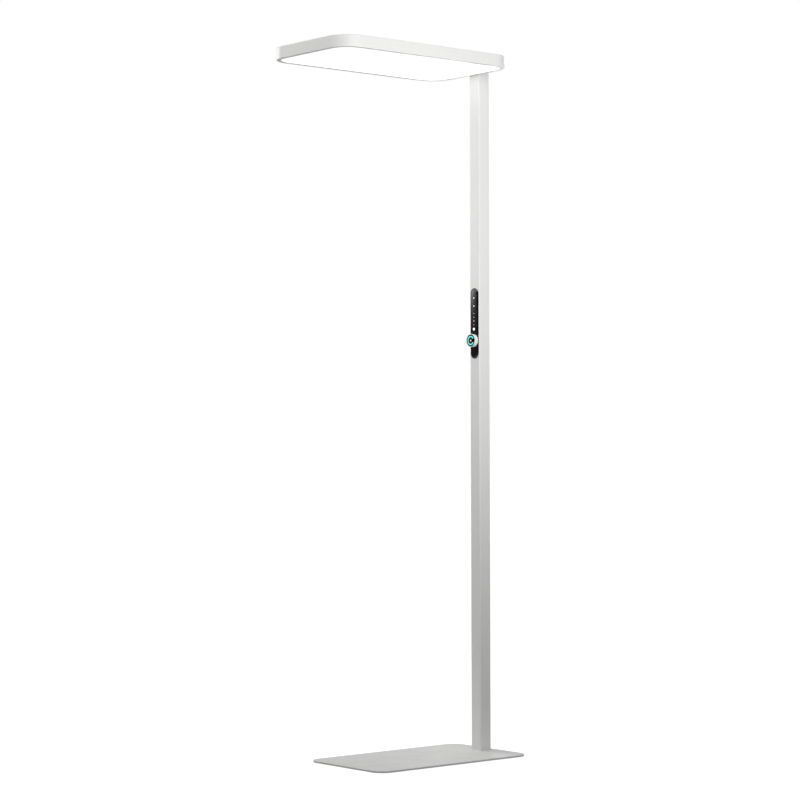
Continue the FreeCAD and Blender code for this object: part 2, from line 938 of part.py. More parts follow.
# ---- Control panel ------------------------------------------------------------------------------

def light_places():
    """Every small light in the panel: (height, radius)."""
    places = []
    for i in range(mode_light_count):
        places.append((panel_top - mode_light_from_top - i * mode_light_pitch, mode_light_radius))
    for i in range(level_light_count):
        places.append((panel_top - level_light_from_top - i * level_light_pitch, level_light_radius))
    return places


def control_fascia():
    """Black stadium plate with a wide bevel all round and holes for lights, lens and knob."""
    back = stadium_block(panel_width, panel_height, post_front - panel_edge_thickness, panel_edge_thickness)
    foot = stadium(panel_width, panel_height, post_front - panel_edge_thickness, panel_centre_height)
    crown = stadium(
        panel_width - 2 * panel_bevel_width,
        panel_height - 2 * panel_bevel_width,
        panel_face,
        panel_centre_height,
    )
    fascia = fused(back, [Part.makeLoft([foot, crown], True, True)])
    for z, radius in light_places():
        fascia = fascia.cut(rod(radius + fit_clearance, panel_thickness, 0, panel_face, z, BACK))
    lens_level = panel_top - motion_lens_from_top
    fascia = fascia.cut(
        rod(motion_lens_radius + fit_clearance, panel_thickness, 0, panel_face, lens_level, BACK)
    )
    sensor_level = panel_bottom + daylight_sensor_from_bottom
    fascia = fascia.cut(
        rod(daylight_sensor_radius + fit_clearance, panel_thickness, 0, panel_face, sensor_level, BACK)
    )
    return fascia.cut(rod(bush_radius + fit_clearance, panel_thickness, 0, panel_face, knob_level, BACK))


def board_screw_places():
    """Heights of the control board's two screws, on its middle line."""
    return [panel_top - board_screw_from_top, panel_bottom + board_screw_from_bottom]


def control_housing():
    """Moulded tray that snaps into the post's window, with bosses for the board."""
    width = panel_width - 2 * panel_seat - 2 * fit_clearance
    height = panel_height - 2 * panel_seat - 2 * fit_clearance
    shell = stadium_block(width, height, post_front, housing_depth)
    hollow = stadium_block(
        width - 2 * housing_wall, height - 2 * housing_wall, post_front, housing_depth - housing_wall
    )
    shell = shell.cut(hollow)
    extras = []
    inner_back = housing_back - housing_wall
    for z in board_screw_places():
        extras.append(rod(board_boss_radius, inner_back - board_back, 0, board_back, z, BACK))
    hook_front = post_front + post_wall + fit_clearance
    for side in (-1, 1):
        for step in (-1, 0, 1):
            z = panel_centre_height + step * housing_hook_spacing - housing_hook_length / 2
            x = side * (width + housing_hook) / 2
            extras.append(
                box(housing_hook, housing_hook_thickness, housing_hook_length, x, hook_front, z)
            )
    shell = fused(shell, extras)
    tapped = board_screw_radius + thread_clearance
    for z in board_screw_places():
        shell = shell.cut(rod(tapped, inner_back - board_back, 0, board_back, z, BACK))
    opening = box(
        connector_width + 2 * loose_clearance,
        housing_wall,
        connector_height + 2 * loose_clearance,
        0,
        inner_back,
        connector_level - connector_height / 2 - loose_clearance,
    )
    return shell.cut(opening)


def control_board():
    """Circuit board with rounded ends, open behind the knob for the display's lead."""
    width = panel_width - 2 * (panel_seat + fit_clearance + housing_wall + loose_clearance)
    height = panel_height - 2 * (panel_seat + fit_clearance + housing_wall + loose_clearance)
    board = stadium_block(width, height, board_front, board_thickness)
    hole = board_screw_radius + screw_hole_clearance
    for z in board_screw_places():
        board = board.cut(rod(hole, board_thickness, 0, board_front, z, BACK))
    return board.cut(rod(board_lead_hole_radius, board_thickness, 0, board_front, knob_level, BACK))


def board_screws():
    """Pan-head screws that hold the board on the housing's bosses."""
    length = housing_back - housing_wall - board_front
    r = board_screw_radius
    head_r = board_screw_head_radius
    thick = board_screw_head_height
    return [cap_screw(r, head_r, thick, length, 0, board_front, z, BACK) for z in board_screw_places()]


def board_connector():
    """Plug connector on the back of the board, which comes out of the housing."""
    low = connector_level - connector_height / 2
    return box(connector_width, connector_depth, connector_height, 0, board_back, low)


def light_pipes():
    """Clear pins from the panel's face to the small lights on the board."""
    length = board_front - indicator_led_height - air_gap - panel_face
    return [rod(radius, length, 0, panel_face, z, BACK) for z, radius in light_places()]


def indicator_leds():
    """Small lights on the board, one behind each pin."""
    lights = []
    for z, radius in light_places():
        side = indicator_led_per_radius * radius
        y = board_front - indicator_led_height
        lights.append(box(side, indicator_led_height, side, 0, y, z - side / 2))
    return lights


def daylight_sensor_window():
    """Clear pin that leads daylight to a sensor on the board."""
    length = board_front - panel_face
    z = panel_bottom + daylight_sensor_from_bottom
    return rod(daylight_sensor_radius, length, 0, panel_face, z, BACK)


def motion_lens():
    """Domed lens with a skirt behind the fascia, round the motion sensor."""
    z = panel_top - motion_lens_from_top
    r = motion_lens_radius
    rise = motion_lens_rise
    ball = (r * r + rise * rise) / (2 * rise)
    dome = Part.makeSphere(ball, Vector(0, panel_face - rise + ball, z))
    dome = dome.common(rod(r, rise, 0, panel_face - rise, z, BACK))
    plug = rod(r, panel_thickness, 0, panel_face, z, BACK)
    outer = r + motion_lens_flange
    skirt_end = board_front - motion_sensor_height
    skirt_length = skirt_end - post_front
    skirt = rod(outer, skirt_length, 0, post_front, z, BACK)
    hollow_length = skirt_length - motion_lens_web
    hollow_start = post_front + motion_lens_web
    skirt = skirt.cut(rod(outer - motion_lens_wall, hollow_length, 0, hollow_start, z, BACK))
    return fused(plug, [dome, skirt])


def motion_sensor():
    """Round metal can on the board, with a thin foot flange."""
    z = panel_top - motion_lens_from_top
    can = rod(motion_lens_radius, motion_sensor_height, 0, board_front - motion_sensor_height, z, BACK)
    thin = motion_sensor_flange_thickness
    flange = rod(motion_lens_radius + motion_lens_wall, thin, 0, board_front - thin, z, BACK)
    return fused(can, [flange])


# ---- Knob ---------------------------------------------------------------------------------------

def double_flat(radius, flat, length, y):
    """A round bar with two flats, which can slide but not turn."""
    bar = rod(radius, length, 0, y, knob_level, BACK)
    return bar.common(box(2 * flat, length, 2 * radius, 0, y, knob_level - radius))


def knob_bush():
    """Brass bush in the fascia with a double-flat bore for the stem."""
    start = panel_face - bush_nose
    body = rod(bush_radius, bush_length, 0, start, knob_level, BACK)
    flange = rod(bush_flange_radius, bush_flange_thickness, 0, post_front, knob_level, BACK)
    bush = fused(body, [flange])
    c = running_clearance
    return bush.cut(double_flat(stem_radius + c, stem_flat + c, bush_length, start))


def knob_core():
    """Cup that holds the display, with the hub that the ring turns on and the sliding stem."""
    r = glass_radius
    cup = rod(r, core_back - display_front, 0, display_front, knob_level, BACK)
    cup = cup.cut(
        rod(knob_display_radius + fit_clearance, knob_display_thickness, 0, display_front, knob_level, BACK)
    )
    hub = rod(core_hub_radius, hub_back - core_back, 0, core_back, knob_level, BACK)
    stem = double_flat(stem_radius, stem_flat, plate_front - hub_back, hub_back)
    core = fused(cup, [hub, stem])
    return core.cut(rod(stem_bore_radius, plate_front - core_front, 0, core_front, knob_level, BACK))


def knob_retainer():
    """Thin ring on the end of the hub that keeps the turning ring in place."""
    return turned(
        [
            (core_hub_radius + running_clearance, retainer_front),
            (retainer_radius, retainer_front),
            (retainer_radius, hub_back),
            (core_hub_radius + running_clearance, hub_back),
        ],
        0,
        0,
        knob_level,
        BACK,
    )


def knob_display():
    """Round display module in the cup."""
    return rod(knob_display_radius, knob_display_thickness, 0, display_front, knob_level, BACK)


def knob_glass():
    """Cover glass with a fine bevel, level with the ring's edge."""
    return turned(
        [
            (0, glass_front),
            (glass_radius - knob_glass_bevel, glass_front),
            (glass_radius, glass_front + knob_glass_bevel),
            (glass_radius, display_front),
            (0, display_front),
        ],
        0,
        0,
        knob_level,
        BACK,
    )


def knob_ring():
    """Turning ring: a smooth outer wall with broken edges and a web that runs on the hub."""
    inner = knob_radius - knob_rim
    skirt = knob_radius - ring_skirt_wall
    bore = core_hub_radius + running_clearance
    return turned(
        [
            (inner, knob_front),
            (knob_radius - knob_edge_chamfer, knob_front),
            (knob_radius, knob_front + knob_edge_chamfer),
            (knob_radius, knob_back - knob_edge_chamfer),
            (knob_radius - knob_edge_chamfer, knob_back),
            (skirt, knob_back),
            (skirt, web_back),
            (bore, web_back),
            (bore, web_front),
            (inner, web_front),
        ],
        0,
        0,
        knob_level,
        BACK,
    )


def knob_magnet():
    """Magnet ring on the back of the web, which tells the board how far the ring has turned."""
    outer = knob_radius - ring_skirt_wall - fit_clearance
    return turned(
        [
            (magnet_inner_radius, web_back),
            (outer, web_back),
            (outer, web_back + magnet_thickness),
            (magnet_inner_radius, web_back + magnet_thickness),
        ],
        0,
        0,
        knob_level,
        BACK,
    )


def press_plate():
    """Plate on the end of the stem: it stops the knob against the bush and works the switch."""
    reach = switch_offset + switch_side / 2
    height = reach + stem_radius + press_plate_margin
    plate = box(press_plate_width, press_plate_thickness, height, 0, plate_front, knob_level - reach)
    return plate.cut(rod(stem_bore_radius, press_plate_thickness, 0, plate_front, knob_level, BACK))


def display_lead():
    """Lead of the display, which runs back through the hollow stem."""
    end = board_back
    return rod(stem_bore_radius - air_gap, end - core_front, 0, core_front, knob_level, BACK)


def push_switch():
    """Key switch on the board, with a bore for its plunger."""
    s = switch_side
    front = board_front - switch_height
    body = box(s, switch_height, s, 0, front, switch_level - s / 2)
    depth = switch_height - switch_floor
    return body.cut(rod(plunger_radius + running_clearance, depth, 0, front, switch_level, BACK))


def switch_plunger():
    """Plunger between the press plate and the inside of the switch."""
    end = board_front - switch_floor - push_travel - air_gap
    return rod(plunger_radius, end - plate_back, 0, plate_back, switch_level, BACK)


# ---- Control cable ------------------------------------------------------------------------------

def control_cable():
    """Ribbon cable from the board up the back of the post and forward into the head."""
    start = Vector(0, board_back + connector_depth, connector_level)
    low_r = cable_lower_bend
    top_r = cable_upper_bend
    end = Vector(0, post_front - terminal_setback, bolt_level)
    a = Vector(0, cable_line - low_r, connector_level)
    b = Vector(0, cable_line, connector_level + low_r)
    c = Vector(0, cable_line, bolt_level - top_r)
    d = Vector(0, cable_line - top_r, bolt_level)
    share = math.sqrt(0.5)
    low_middle = Vector(0, a.y + low_r * share, b.z - low_r * share)
    top_middle = Vector(0, d.y + top_r * share, c.z + top_r * share)
    path = Part.Wire(
        [
            Part.LineSegment(start, a).toShape(),
            Part.Arc(a, low_middle, b).toShape(),
            Part.LineSegment(b, c).toShape(),
            Part.Arc(c, top_middle, d).toShape(),
            Part.LineSegment(d, end).toShape(),
        ]
    )
    across = Vector(cable_width / 2, 0, 0)
    thick = Vector(0, 0, cable_thickness / 2)
    corners = [start - across - thick, start + across - thick, start + across + thick, start - across + thick]
    section = Part.makePolygon(corners + [corners[0]])
    cable = path.makePipeShell([section], True, False)
    expected = cable_width * cable_thickness * path.Length
    print("cable length", round(path.Length, 1), "volume ratio", round(cable.Volume / expected, 4))
    return cable


def cable_clips():
    """Stick-on clips that hold the ribbon to the post's back wall."""
    first = connector_level + 2 * cable_lower_bend
    last = bolt_level - 2 * cable_upper_bend
    step = (last - first) / clip_count
    wall = post_back - post_wall
    slot_width = cable_width + 2 * running_clearance
    slot_depth = cable_thickness + 2 * running_clearance
    slot_front = cable_line - slot_depth / 2
    front = slot_front - clip_wall
    clips = []
    for i in range(clip_count):
        z = first + (i + 0.5) * step
        clip = box(slot_width + 2 * clip_wall, wall - front, clip_height, 0, front, z)
        clips.append(clip.cut(box(slot_width, slot_depth, clip_height, 0, slot_front, z)))
    return clips


# ---- Write every node ---------------------------------------------------------------------------

os.makedirs("parts", exist_ok=True)

save("base_plate", base_plate())
save("base_underlay", base_underlay())
save("base_screws", base_screws())
save("post_profile", post_profile())
save("post_foot_block", foot_block())
save("foot_block_screws", foot_block_screws())
save("post_cap", post_cap())
save("cable_inlet", cable_inlet())
save("cable_inlet_nut", cable_inlet_nut())
save("head_frame", head_frame())
save("lower_diffuser", lower_diffuser())
save("light_guide", light_guide())
save("reflector_sheet", reflector_sheet())
save("led_strips", led_strips())
save("led_chips", led_chips())
save("gear_tray", gear_tray())
save("led_driver", led_driver())
save("driver_screws", driver_screws())
save("terminal_block", terminal_block())
save("tray_spacers", tray_spacers())
save("uplight_boards", uplight_boards())
save("uplight_chips", uplight_chips())
save("top_cover", top_cover())
save("cover_screws", cover_screws())
save("upper_diffusers", upper_diffusers())
save("head_bracket", head_bracket())
save("bracket_screws", bracket_screws())
save("head_nut_plate", head_nut_plate())
save("head_bolts", head_bolts())
save("control_fascia", control_fascia())
save("control_housing", control_housing())
save("control_board", control_board())
save("board_screws", board_screws())
save("board_connector", board_connector())
save("light_pipes", light_pipes())
save("indicator_leds", indicator_leds())
save("daylight_sensor_window", daylight_sensor_window())
save("motion_lens", motion_lens())
save("motion_sensor", motion_sensor())
save("knob_bush", knob_bush())
save("knob_core", knob_core())
save("knob_retainer", knob_retainer())
save("knob_display", knob_display())
save("knob_glass", knob_glass())
save("knob_ring", knob_ring())
save("knob_magnet", knob_magnet())
save("press_plate", press_plate())
save("display_lead", display_lead())
save("push_switch", push_switch())
save("switch_plunger", switch_plunger())
save("control_cable", control_cable())
save("cable_clips", cable_clips())
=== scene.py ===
import math

import bpy
import numpy as np
from mathutils import Matrix, Vector
from mathutils.geometry import tessellate_polygon


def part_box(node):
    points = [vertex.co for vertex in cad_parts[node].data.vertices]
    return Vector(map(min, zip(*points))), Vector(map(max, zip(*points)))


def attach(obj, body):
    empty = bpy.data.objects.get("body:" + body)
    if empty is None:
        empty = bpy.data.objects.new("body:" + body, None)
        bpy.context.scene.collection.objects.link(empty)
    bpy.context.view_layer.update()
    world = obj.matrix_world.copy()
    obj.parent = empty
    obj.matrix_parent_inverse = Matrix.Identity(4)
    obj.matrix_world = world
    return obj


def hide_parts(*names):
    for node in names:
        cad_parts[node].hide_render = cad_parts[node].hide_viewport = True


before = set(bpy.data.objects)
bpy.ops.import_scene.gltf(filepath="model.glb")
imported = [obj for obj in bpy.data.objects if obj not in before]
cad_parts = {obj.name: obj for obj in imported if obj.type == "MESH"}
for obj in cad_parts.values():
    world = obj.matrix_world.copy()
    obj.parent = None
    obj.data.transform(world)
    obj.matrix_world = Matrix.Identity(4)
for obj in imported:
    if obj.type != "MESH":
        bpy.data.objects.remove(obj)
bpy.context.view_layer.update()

# Office floor lamp. The scene is in metres, +Z is up and -Y is the front.

# ---- Studio -------------------------------------------------------------------------------------
# A matt floor that runs out into a white surround, with softboxes on both sides, overhead and
# behind. A sheet with a left and a front leaf is seen in mirrors only: a painted reflection that
# glows grey low down and is black above. It keeps polished black parts as black as in the photograph.


def linear(hex_code):
    """An sRGB colour such as "E6E6E4" as linear red, green, blue and a full alpha.

    A value s becomes s / 12.92 up to 0.04045, and ((s + 0.055) / 1.055) to the power 2.4 above it.
    """
    srgb = np.array([int(hex_code[i : i + 2], 16) for i in (0, 2, 4)]) / 255
    bright = ((srgb + 0.055) / 1.055) ** 2.4
    return (*np.where(srgb <= 0.04045, srgb / 12.92, bright).tolist(), 1.0)


def add(tree, kind, inputs=(), **settings):
    """Adds a node and returns it. inputs are values, or the sockets that feed it."""
    node = tree.nodes.new("ShaderNode" + kind)
    for name, value in settings.items():
        setattr(node, name, value)
    for key, value in dict(inputs).items():
        if isinstance(value, bpy.types.NodeSocket):
            tree.links.new(value, node.inputs[key])
        else:
            node.inputs[key].default_value = value
    return node


def new_material(name):
    """An empty node material and its tree."""
    material = bpy.data.materials.new(name)
    material.use_nodes = True
    material.node_tree.nodes.clear()
    return material, material.node_tree


def background_ray(tree):
    """1 for a ray that shows the surround: seen straight, mirrored or through something clear."""
    path = add(tree, "LightPath").outputs
    rays = {0: path["Is Camera Ray"], 1: path["Is Glossy Ray"]}
    seen = add(tree, "Math", rays, operation="MAXIMUM").outputs[0]
    rays = {0: seen, 1: path["Is Transmission Ray"]}
    return add(tree, "Math", rays, operation="MAXIMUM").outputs[0]


def stage_sheet(name, corners, faces, material):
    """A flat thing of the studio, from its corners and faces. It isn't part of the lamp."""
    mesh = bpy.data.meshes.new(name)
    mesh.from_pydata(corners, [], faces)
    mesh.materials.append(material)
    sheet = bpy.data.objects.new(name, mesh)
    bpy.context.collection.objects.link(sheet)
    return sheet


# The surround is white where it is seen, and a dim even light on everything else.
AMBIENT = 0.17
world = bpy.data.worlds.new("studio")
world.use_nodes = True
tree = world.node_tree
tree.nodes.clear()
dim = (AMBIENT, AMBIENT, AMBIENT, 1)
shades = {"Fac": background_ray(tree), "Color1": dim, "Color2": linear("FFFFFF")}
surround = add(tree, "MixRGB", shades)
sky = add(tree, "Background", {"Color": surround.outputs[0]})
add(tree, "OutputWorld", {"Surface": sky.outputs[0]})
bpy.context.scene.world = world

# Matt floor paint: no gloss, and paler with distance until it meets the surround with no horizon.
FLOOR_REACH = 40.0
FLOOR_SHADE_NEAR = 0.90
FLOOR_SHADE_FAR = 0.99
PALER_FROM = 1.0
PALER_TO = 4.0
floor_material, tree = new_material("pale_studio_floor")
matt = add(tree, "BsdfDiffuse", {"Color": linear("989896")})
place = add(tree, "TexCoord").outputs["Object"]
distance = add(tree, "VectorMath", {0: place}, operation="LENGTH").outputs["Value"]
level = {"Value": distance, "From Min": PALER_FROM, "From Max": PALER_TO}
level.update({"To Min": FLOOR_SHADE_NEAR, "To Max": FLOOR_SHADE_FAR})
paleness = add(tree, "MapRange", level).outputs[0]
strength = add(tree, "Math", {0: background_ray(tree), 1: paleness}, operation="MULTIPLY").outputs[0]
glow = add(tree, "Emission", {"Strength": strength})
both = add(tree, "AddShader", {0: matt.outputs[0], 1: glow.outputs[0]})
add(tree, "OutputMaterial", {"Surface": both.outputs[0]})
corners = FLOOR_REACH * np.array([[-1, -1, 0], [1, -1, 0], [1, 1, 0], [-1, 1, 0]])
stage_sheet("studio_floor", corners.tolist(), [[0, 1, 2, 3]], floor_material)

# Painted reflection: a glow graded by height, so that a mirror that looks low sees grey, and others
# black.
FLAG_PATH = [(-2.4, 3.2), (-2.4, -3.2), (1.2, -3.2)]
FLAG_HEIGHT = 2.6
FLAG_GREY_TOP = 0.8
FLAG_BLACK_FROM = 1.3
FLAG_GREY = 0.4
FLAG_BLACK = 0.01
painted_reflection_material, tree = new_material("painted_reflection_glow_sheet")
place = add(tree, "TexCoord").outputs["Object"]
height = add(tree, "SeparateXYZ", {0: place}).outputs["Z"]
level = {"Value": height, "From Min": FLAG_GREY_TOP, "From Max": FLAG_BLACK_FROM}
level.update({"To Min": FLAG_GREY, "To Max": FLAG_BLACK})
painted_reflection_glow = add(tree, "Emission", {"Strength": add(tree, "MapRange", level).outputs[0]})
add(tree, "OutputMaterial", {"Surface": painted_reflection_glow.outputs[0]})
corners = [(x, y, z) for z in (0, FLAG_HEIGHT) for x, y in FLAG_PATH]
painted_reflection_sheet = stage_sheet("painted_reflection_flag", corners, [[0, 1, 4, 3], [1, 2, 5, 4]], painted_reflection_material)
painted_reflection_sheet.visible_camera = painted_reflection_sheet.visible_diffuse = painted_reflection_sheet.visible_shadow = painted_reflection_sheet.visible_transmission = False


def softbox(name, place, target, width, height, watts, spread=180, mirrored=True):
    """A rectangular lamp that faces a target and isn't seen itself. spread is its beam's angle.

    A lamp that isn't mirrored stays out of what polished parts show.
    """
    lamp = bpy.data.lights.new(name, "AREA")
    lamp.shape = "RECTANGLE"
    lamp.size = width
    lamp.size_y = height
    lamp.energy = watts
    lamp.spread = math.radians(spread)
    holder = bpy.data.objects.new(name, lamp)
    holder.location = place
    holder.rotation_euler = (Vector(target) - Vector(place)).to_track_quat("-Z", "Y").to_euler()
    holder.visible_camera = False
    holder.visible_glossy = mirrored
    bpy.context.collection.objects.link(holder)


softbox("front_left_softbox", (-1.06, -0.48, 1.74), (0, 0.27, 1.6), 0.32, 0.76, 4.3)
softbox("right_softbox", (1.34, -0.13, 1.51), (0, 0.27, 1.8), 1.54, 1.54, 14.5, 145)
softbox("high_right_softbox", (0.41, -1.16, 2.99), (0, 0.05, 0.3), 1.04, 1.04, 5)
softbox("high_left_softbox", (-0.6, -1.3, 2.7), (0, -0.1, 0.0), 1.0, 1.0, 11.5)
softbox("left_softbox", (-1.9, 0.0, 1.9), (-0.1, -0.1, 0), 0.9, 0.9, 25, mirrored=False)
softbox("back_left_softbox", (-1.6, 2.4, 1.7), (0, 0.1, 1.0), 1.6, 1.6, 17)

# The camera stands where the photograph was taken: in front and to the right, near table height.
CAMERA_AZIMUTH = math.radians(50.11)
CAMERA_PITCH = math.radians(1.03)
CAMERA_ROLL = math.radians(-0.14)
CAMERA_DISTANCE = 6.5531
CAMERA_SIDESTEP = -0.2275
CAMERA_HEIGHT = 0.8787
PHOTO_SIDE = 800
FOCAL_PIXELS = 2309
post_low, post_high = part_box("post_profile")
post_y = (post_low.y + post_high.y) / 2
away = Vector((math.sin(CAMERA_AZIMUTH), -math.cos(CAMERA_AZIMUTH), 0))
aside = Vector((math.cos(CAMERA_AZIMUTH), math.sin(CAMERA_AZIMUTH), 0))
stand_point = Vector((0, post_y, CAMERA_HEIGHT)) + away * CAMERA_DISTANCE + aside * CAMERA_SIDESTEP
camera_data = bpy.data.cameras.new("camera")
camera_data.lens = camera_data.sensor_width * FOCAL_PIXELS / PHOTO_SIDE
camera = bpy.data.objects.new("camera", camera_data)
camera.matrix_world = (
    Matrix.Translation(stand_point)
    @ Matrix.Rotation(CAMERA_AZIMUTH, 4, "Z")
    @ Matrix.Rotation(math.pi / 2 + CAMERA_PITCH, 4, "X")
    @ Matrix.Rotation(CAMERA_ROLL, 4, "Z")
)
bpy.context.collection.objects.link(camera)
bpy.context.scene.camera = camera
bpy.context.scene.view_settings.view_transform = "Standard"


# ---- Base plate ---------------------------------------------------------------------------------
# A laser-cut steel plate with rounded edges, coated with a fine-textured light grey powder that is
# baked on. Four screws, countersunk in its underside, hold the foot block of the post.

# Sizes are in millimetres from here on, and MM turns them into metres.
MM = 0.001

# Points nearer than this, in metres, are one point. A cap leaves out triangles of a smaller area
# than this, in square metres.
SAME_POINT = 1e-7
NO_AREA = 1e-14


def outline(u_size, v_size, radius, middle=(0, 0), steps=16):
    """A level rectangle with round corners, as arc centres and unit directions, anticlockwise.

    A point is centre + (radius - inset) * direction. Sizes of twice the radius give a circle.
    """
    turn = (np.arange(4)[:, None] + np.linspace(0, 1, steps + 1)) * math.pi / 2
    way = np.stack([np.cos(turn), np.sin(turn)], axis=-1).reshape(-1, 2)
    quarter = np.repeat([[1, 1], [-1, 1], [-1, -1], [1, -1]], steps + 1, axis=0)
    centre = quarter * [u_size / 2 - radius, v_size / 2 - radius] + middle
    loop = centre + radius * way
    distinct = np.linalg.norm(np.roll(loop, -1, axis=0) - loop, axis=1) > SAME_POINT
    return centre[distinct], way[distinct], radius


def disc(radius, middle=(0, 0), steps=16):
    """A circle as such an outline."""
    return outline(2 * radius, 2 * radius, radius, middle, steps)


def softened(corners, radii, closed=False, steps=4):
    """A path with round corners: its points and its left-hand normals.

    Where the path turns by t, an arc of radius r starts r * tan(t / 2) before the corner. The arc's
    centre lies r to the side of the turn, and each point r from it, against the normal on a left
    turn and along it on a right turn. An open path keeps its two ends as they are.
    """
    corners = np.array(corners, float)
    before = corners - np.roll(corners, 1, axis=0)
    after = np.roll(corners, -1, axis=0) - corners
    before /= np.linalg.norm(before, axis=1)[:, None]
    after /= np.linalg.norm(after, axis=1)[:, None]
    cross = before[:, 0] * after[:, 1] - before[:, 1] * after[:, 0]
    turn = np.arctan2(cross, (before * after).sum(axis=1))[:, None]
    side = np.sign(turn)
    r = np.broadcast_to(radii, len(corners))[:, None]
    left = np.stack([-before[:, 1], before[:, 0]], axis=1)
    centre = corners - before * r * np.tan(np.abs(turn) / 2) + side * r * left
    angle = np.arctan2(left[:, 1], left[:, 0])[:, None] + turn * np.linspace(0, 1, steps + 1)
    normals = np.stack([np.cos(angle), np.sin(angle)], axis=-1)
    points = centre[:, None] - (side * r)[:, None] * normals
    if closed:
        return points.reshape(-1, 2), normals.reshape(-1, 2)
    first = np.array([-after[0, 1], after[0, 0]])
    points = np.vstack([corners[:1], points[1:-1].reshape(-1, 2), corners[-1:]])
    normals = np.vstack([first[None], normals[1:-1].reshape(-1, 2), left[-1:]])
    return points, normals


# The rows give an outline's two directions and its height. A level piece has the scene's own axes.
LEVEL = np.array([[1, 0, 0], [0, 1, 0], [0, 0, 1]])


def carried(section, shape, side=1, axes=LEVEL, origin=(0, 0, 0)):
    """Points and normals of a section of (inset, height) carried round an outline.

    A point is centre + (radius - side * inset) * direction, raised by its height. side is 1 where
    the material is inside the outline and -1 where it is outside, as at a hole.
    """
    points, normals = section
    centre, way, radius = shape
    flat = centre + (radius - side * points[:, :1, None]) * way
    place = flat @ axes[:2] + points[:, 1, None, None] * axes[2] + origin
    facing = -side * normals[:, :1, None] * way @ axes[:2] + normals[:, 1, None, None] * axes[2]
    return place, facing


def woven(loops, count, first=0, side=1, closed=False):
    """Four-sided faces between neighbouring loops of equally many points.

    Point i of loop j joins point i + 1 and the same two points of loop j + 1. A closed weave also
    joins the last loop to the first.
    """
    j = np.arange(loops if closed else loops - 1)[:, None]
    i = np.arange(count)[None]
    here = j * count
    there = (j + 1) % loops * count
    onward = (i + 1) % count
    square = np.stack([here + i, here + onward, there + onward, there + i], axis=-1)
    faces = first + square.reshape(-1, 4)
    return faces if side > 0 else faces[:, ::-1]


finishes = {}


def lamp_piece(name, places, facings, faces, slot, body, replaced=()):
    """A piece from blocks of points, their normals and lists of faces, riding on a body."""
    mesh = bpy.data.meshes.new(name)
    points = np.concatenate([block.reshape(-1, 3) for block in places])
    normals = np.concatenate([block.reshape(-1, 3) for block in facings])
    sides = [face for block in faces for face in np.asarray(block).tolist()]
    mesh.from_pydata(points.tolist(), [], sides)
    mesh.shade_smooth()
    mesh.normals_split_custom_set_from_vertices(normals.tolist())
    mesh.materials.append(finishes[slot])
    piece = bpy.data.objects.new(name, mesh)
    bpy.context.collection.objects.link(piece)
    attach(piece, body)
    if replaced:
        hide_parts(*replaced)
    return piece


def plate_piece(name, borders, slot, body, replaced=(), axes=LEVEL, origin=(0, 0, 0), crown=None):
    """A plate: flat caps between the first loops and between the last loops of its borders.

    borders are (section, outline, side), the outer one first and then its holes. Each section runs
    from the low cap to the high one. crown changes the last loop of each border.
    """
    places, facings, faces = [], [], []
    lows, highs = [], []
    count = 0
    for section, shape, side in borders:
        place, facing = carried(section, shape, side, axes, origin)
        if crown:
            place[-1], facing[-1] = crown(place[-1])
        loops, points = place.shape[:2]
        faces.append(woven(loops, points, count, side))
        lows.append(count + np.arange(points))
        highs.append(count + (loops - 1) * points + np.arange(points))
        count += loops * points
        places.append(place)
        facings.append(facing)
    for ends, index, up in ((lows, 0, -1), (highs, -1, 1)):
        flat = [(place[index] - origin) @ axes[:2].T for place in places]
        numbers = np.concatenate(ends)
        spots = np.concatenate(flat)
        rims = [np.pad(loop, ((0, 0), (0, 1))).tolist() for loop in flat]
        triangles = np.array(tessellate_polygon(rims))
        a, b, c = (spots[triangles[:, k]] for k in range(3))
        area = (b[:, 0] - a[:, 0]) * (c[:, 1] - a[:, 1]) - (b[:, 1] - a[:, 1]) * (c[:, 0] - a[:, 0])
        triangles[area * up < 0] = triangles[area * up < 0][:, ::-1]
        faces.append(numbers[triangles[np.abs(area) > NO_AREA]])
    return lamp_piece(name, places, facings, faces, slot, body, replaced)


# A flat face starts this many radii in from the plate's rounded edge.
FLAT_FROM = 3


def edge_section(low, high, edge):
    """The section of a plate's border, with both edges rounded."""
    flat = FLAT_FROM * edge
    return softened([(flat, low), (0, low), (0, high), (flat, high)], edge)


def dress(slot, material):
    """Gives a material to every CAD node of a slot, and keeps it for the new pieces."""
    finishes[slot] = material
    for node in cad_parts.values():
        for i, old in enumerate(node.data.materials):
            if old.name.split(".")[0] == slot:
                node.data.materials[i] = material


# Blender's noise stays mostly between these two values. Clouds of handling and spraying are about
# 80 mm wide, and a grain is ten times as wide as it is deep.
NOISE_LOW = 0.3
NOISE_HIGH = 0.7
CLOUDS_PER_METRE = 12.0
GRAIN_WIDTH_TO_DEPTH = 10
ROUGHNESS_SWING = 0.1


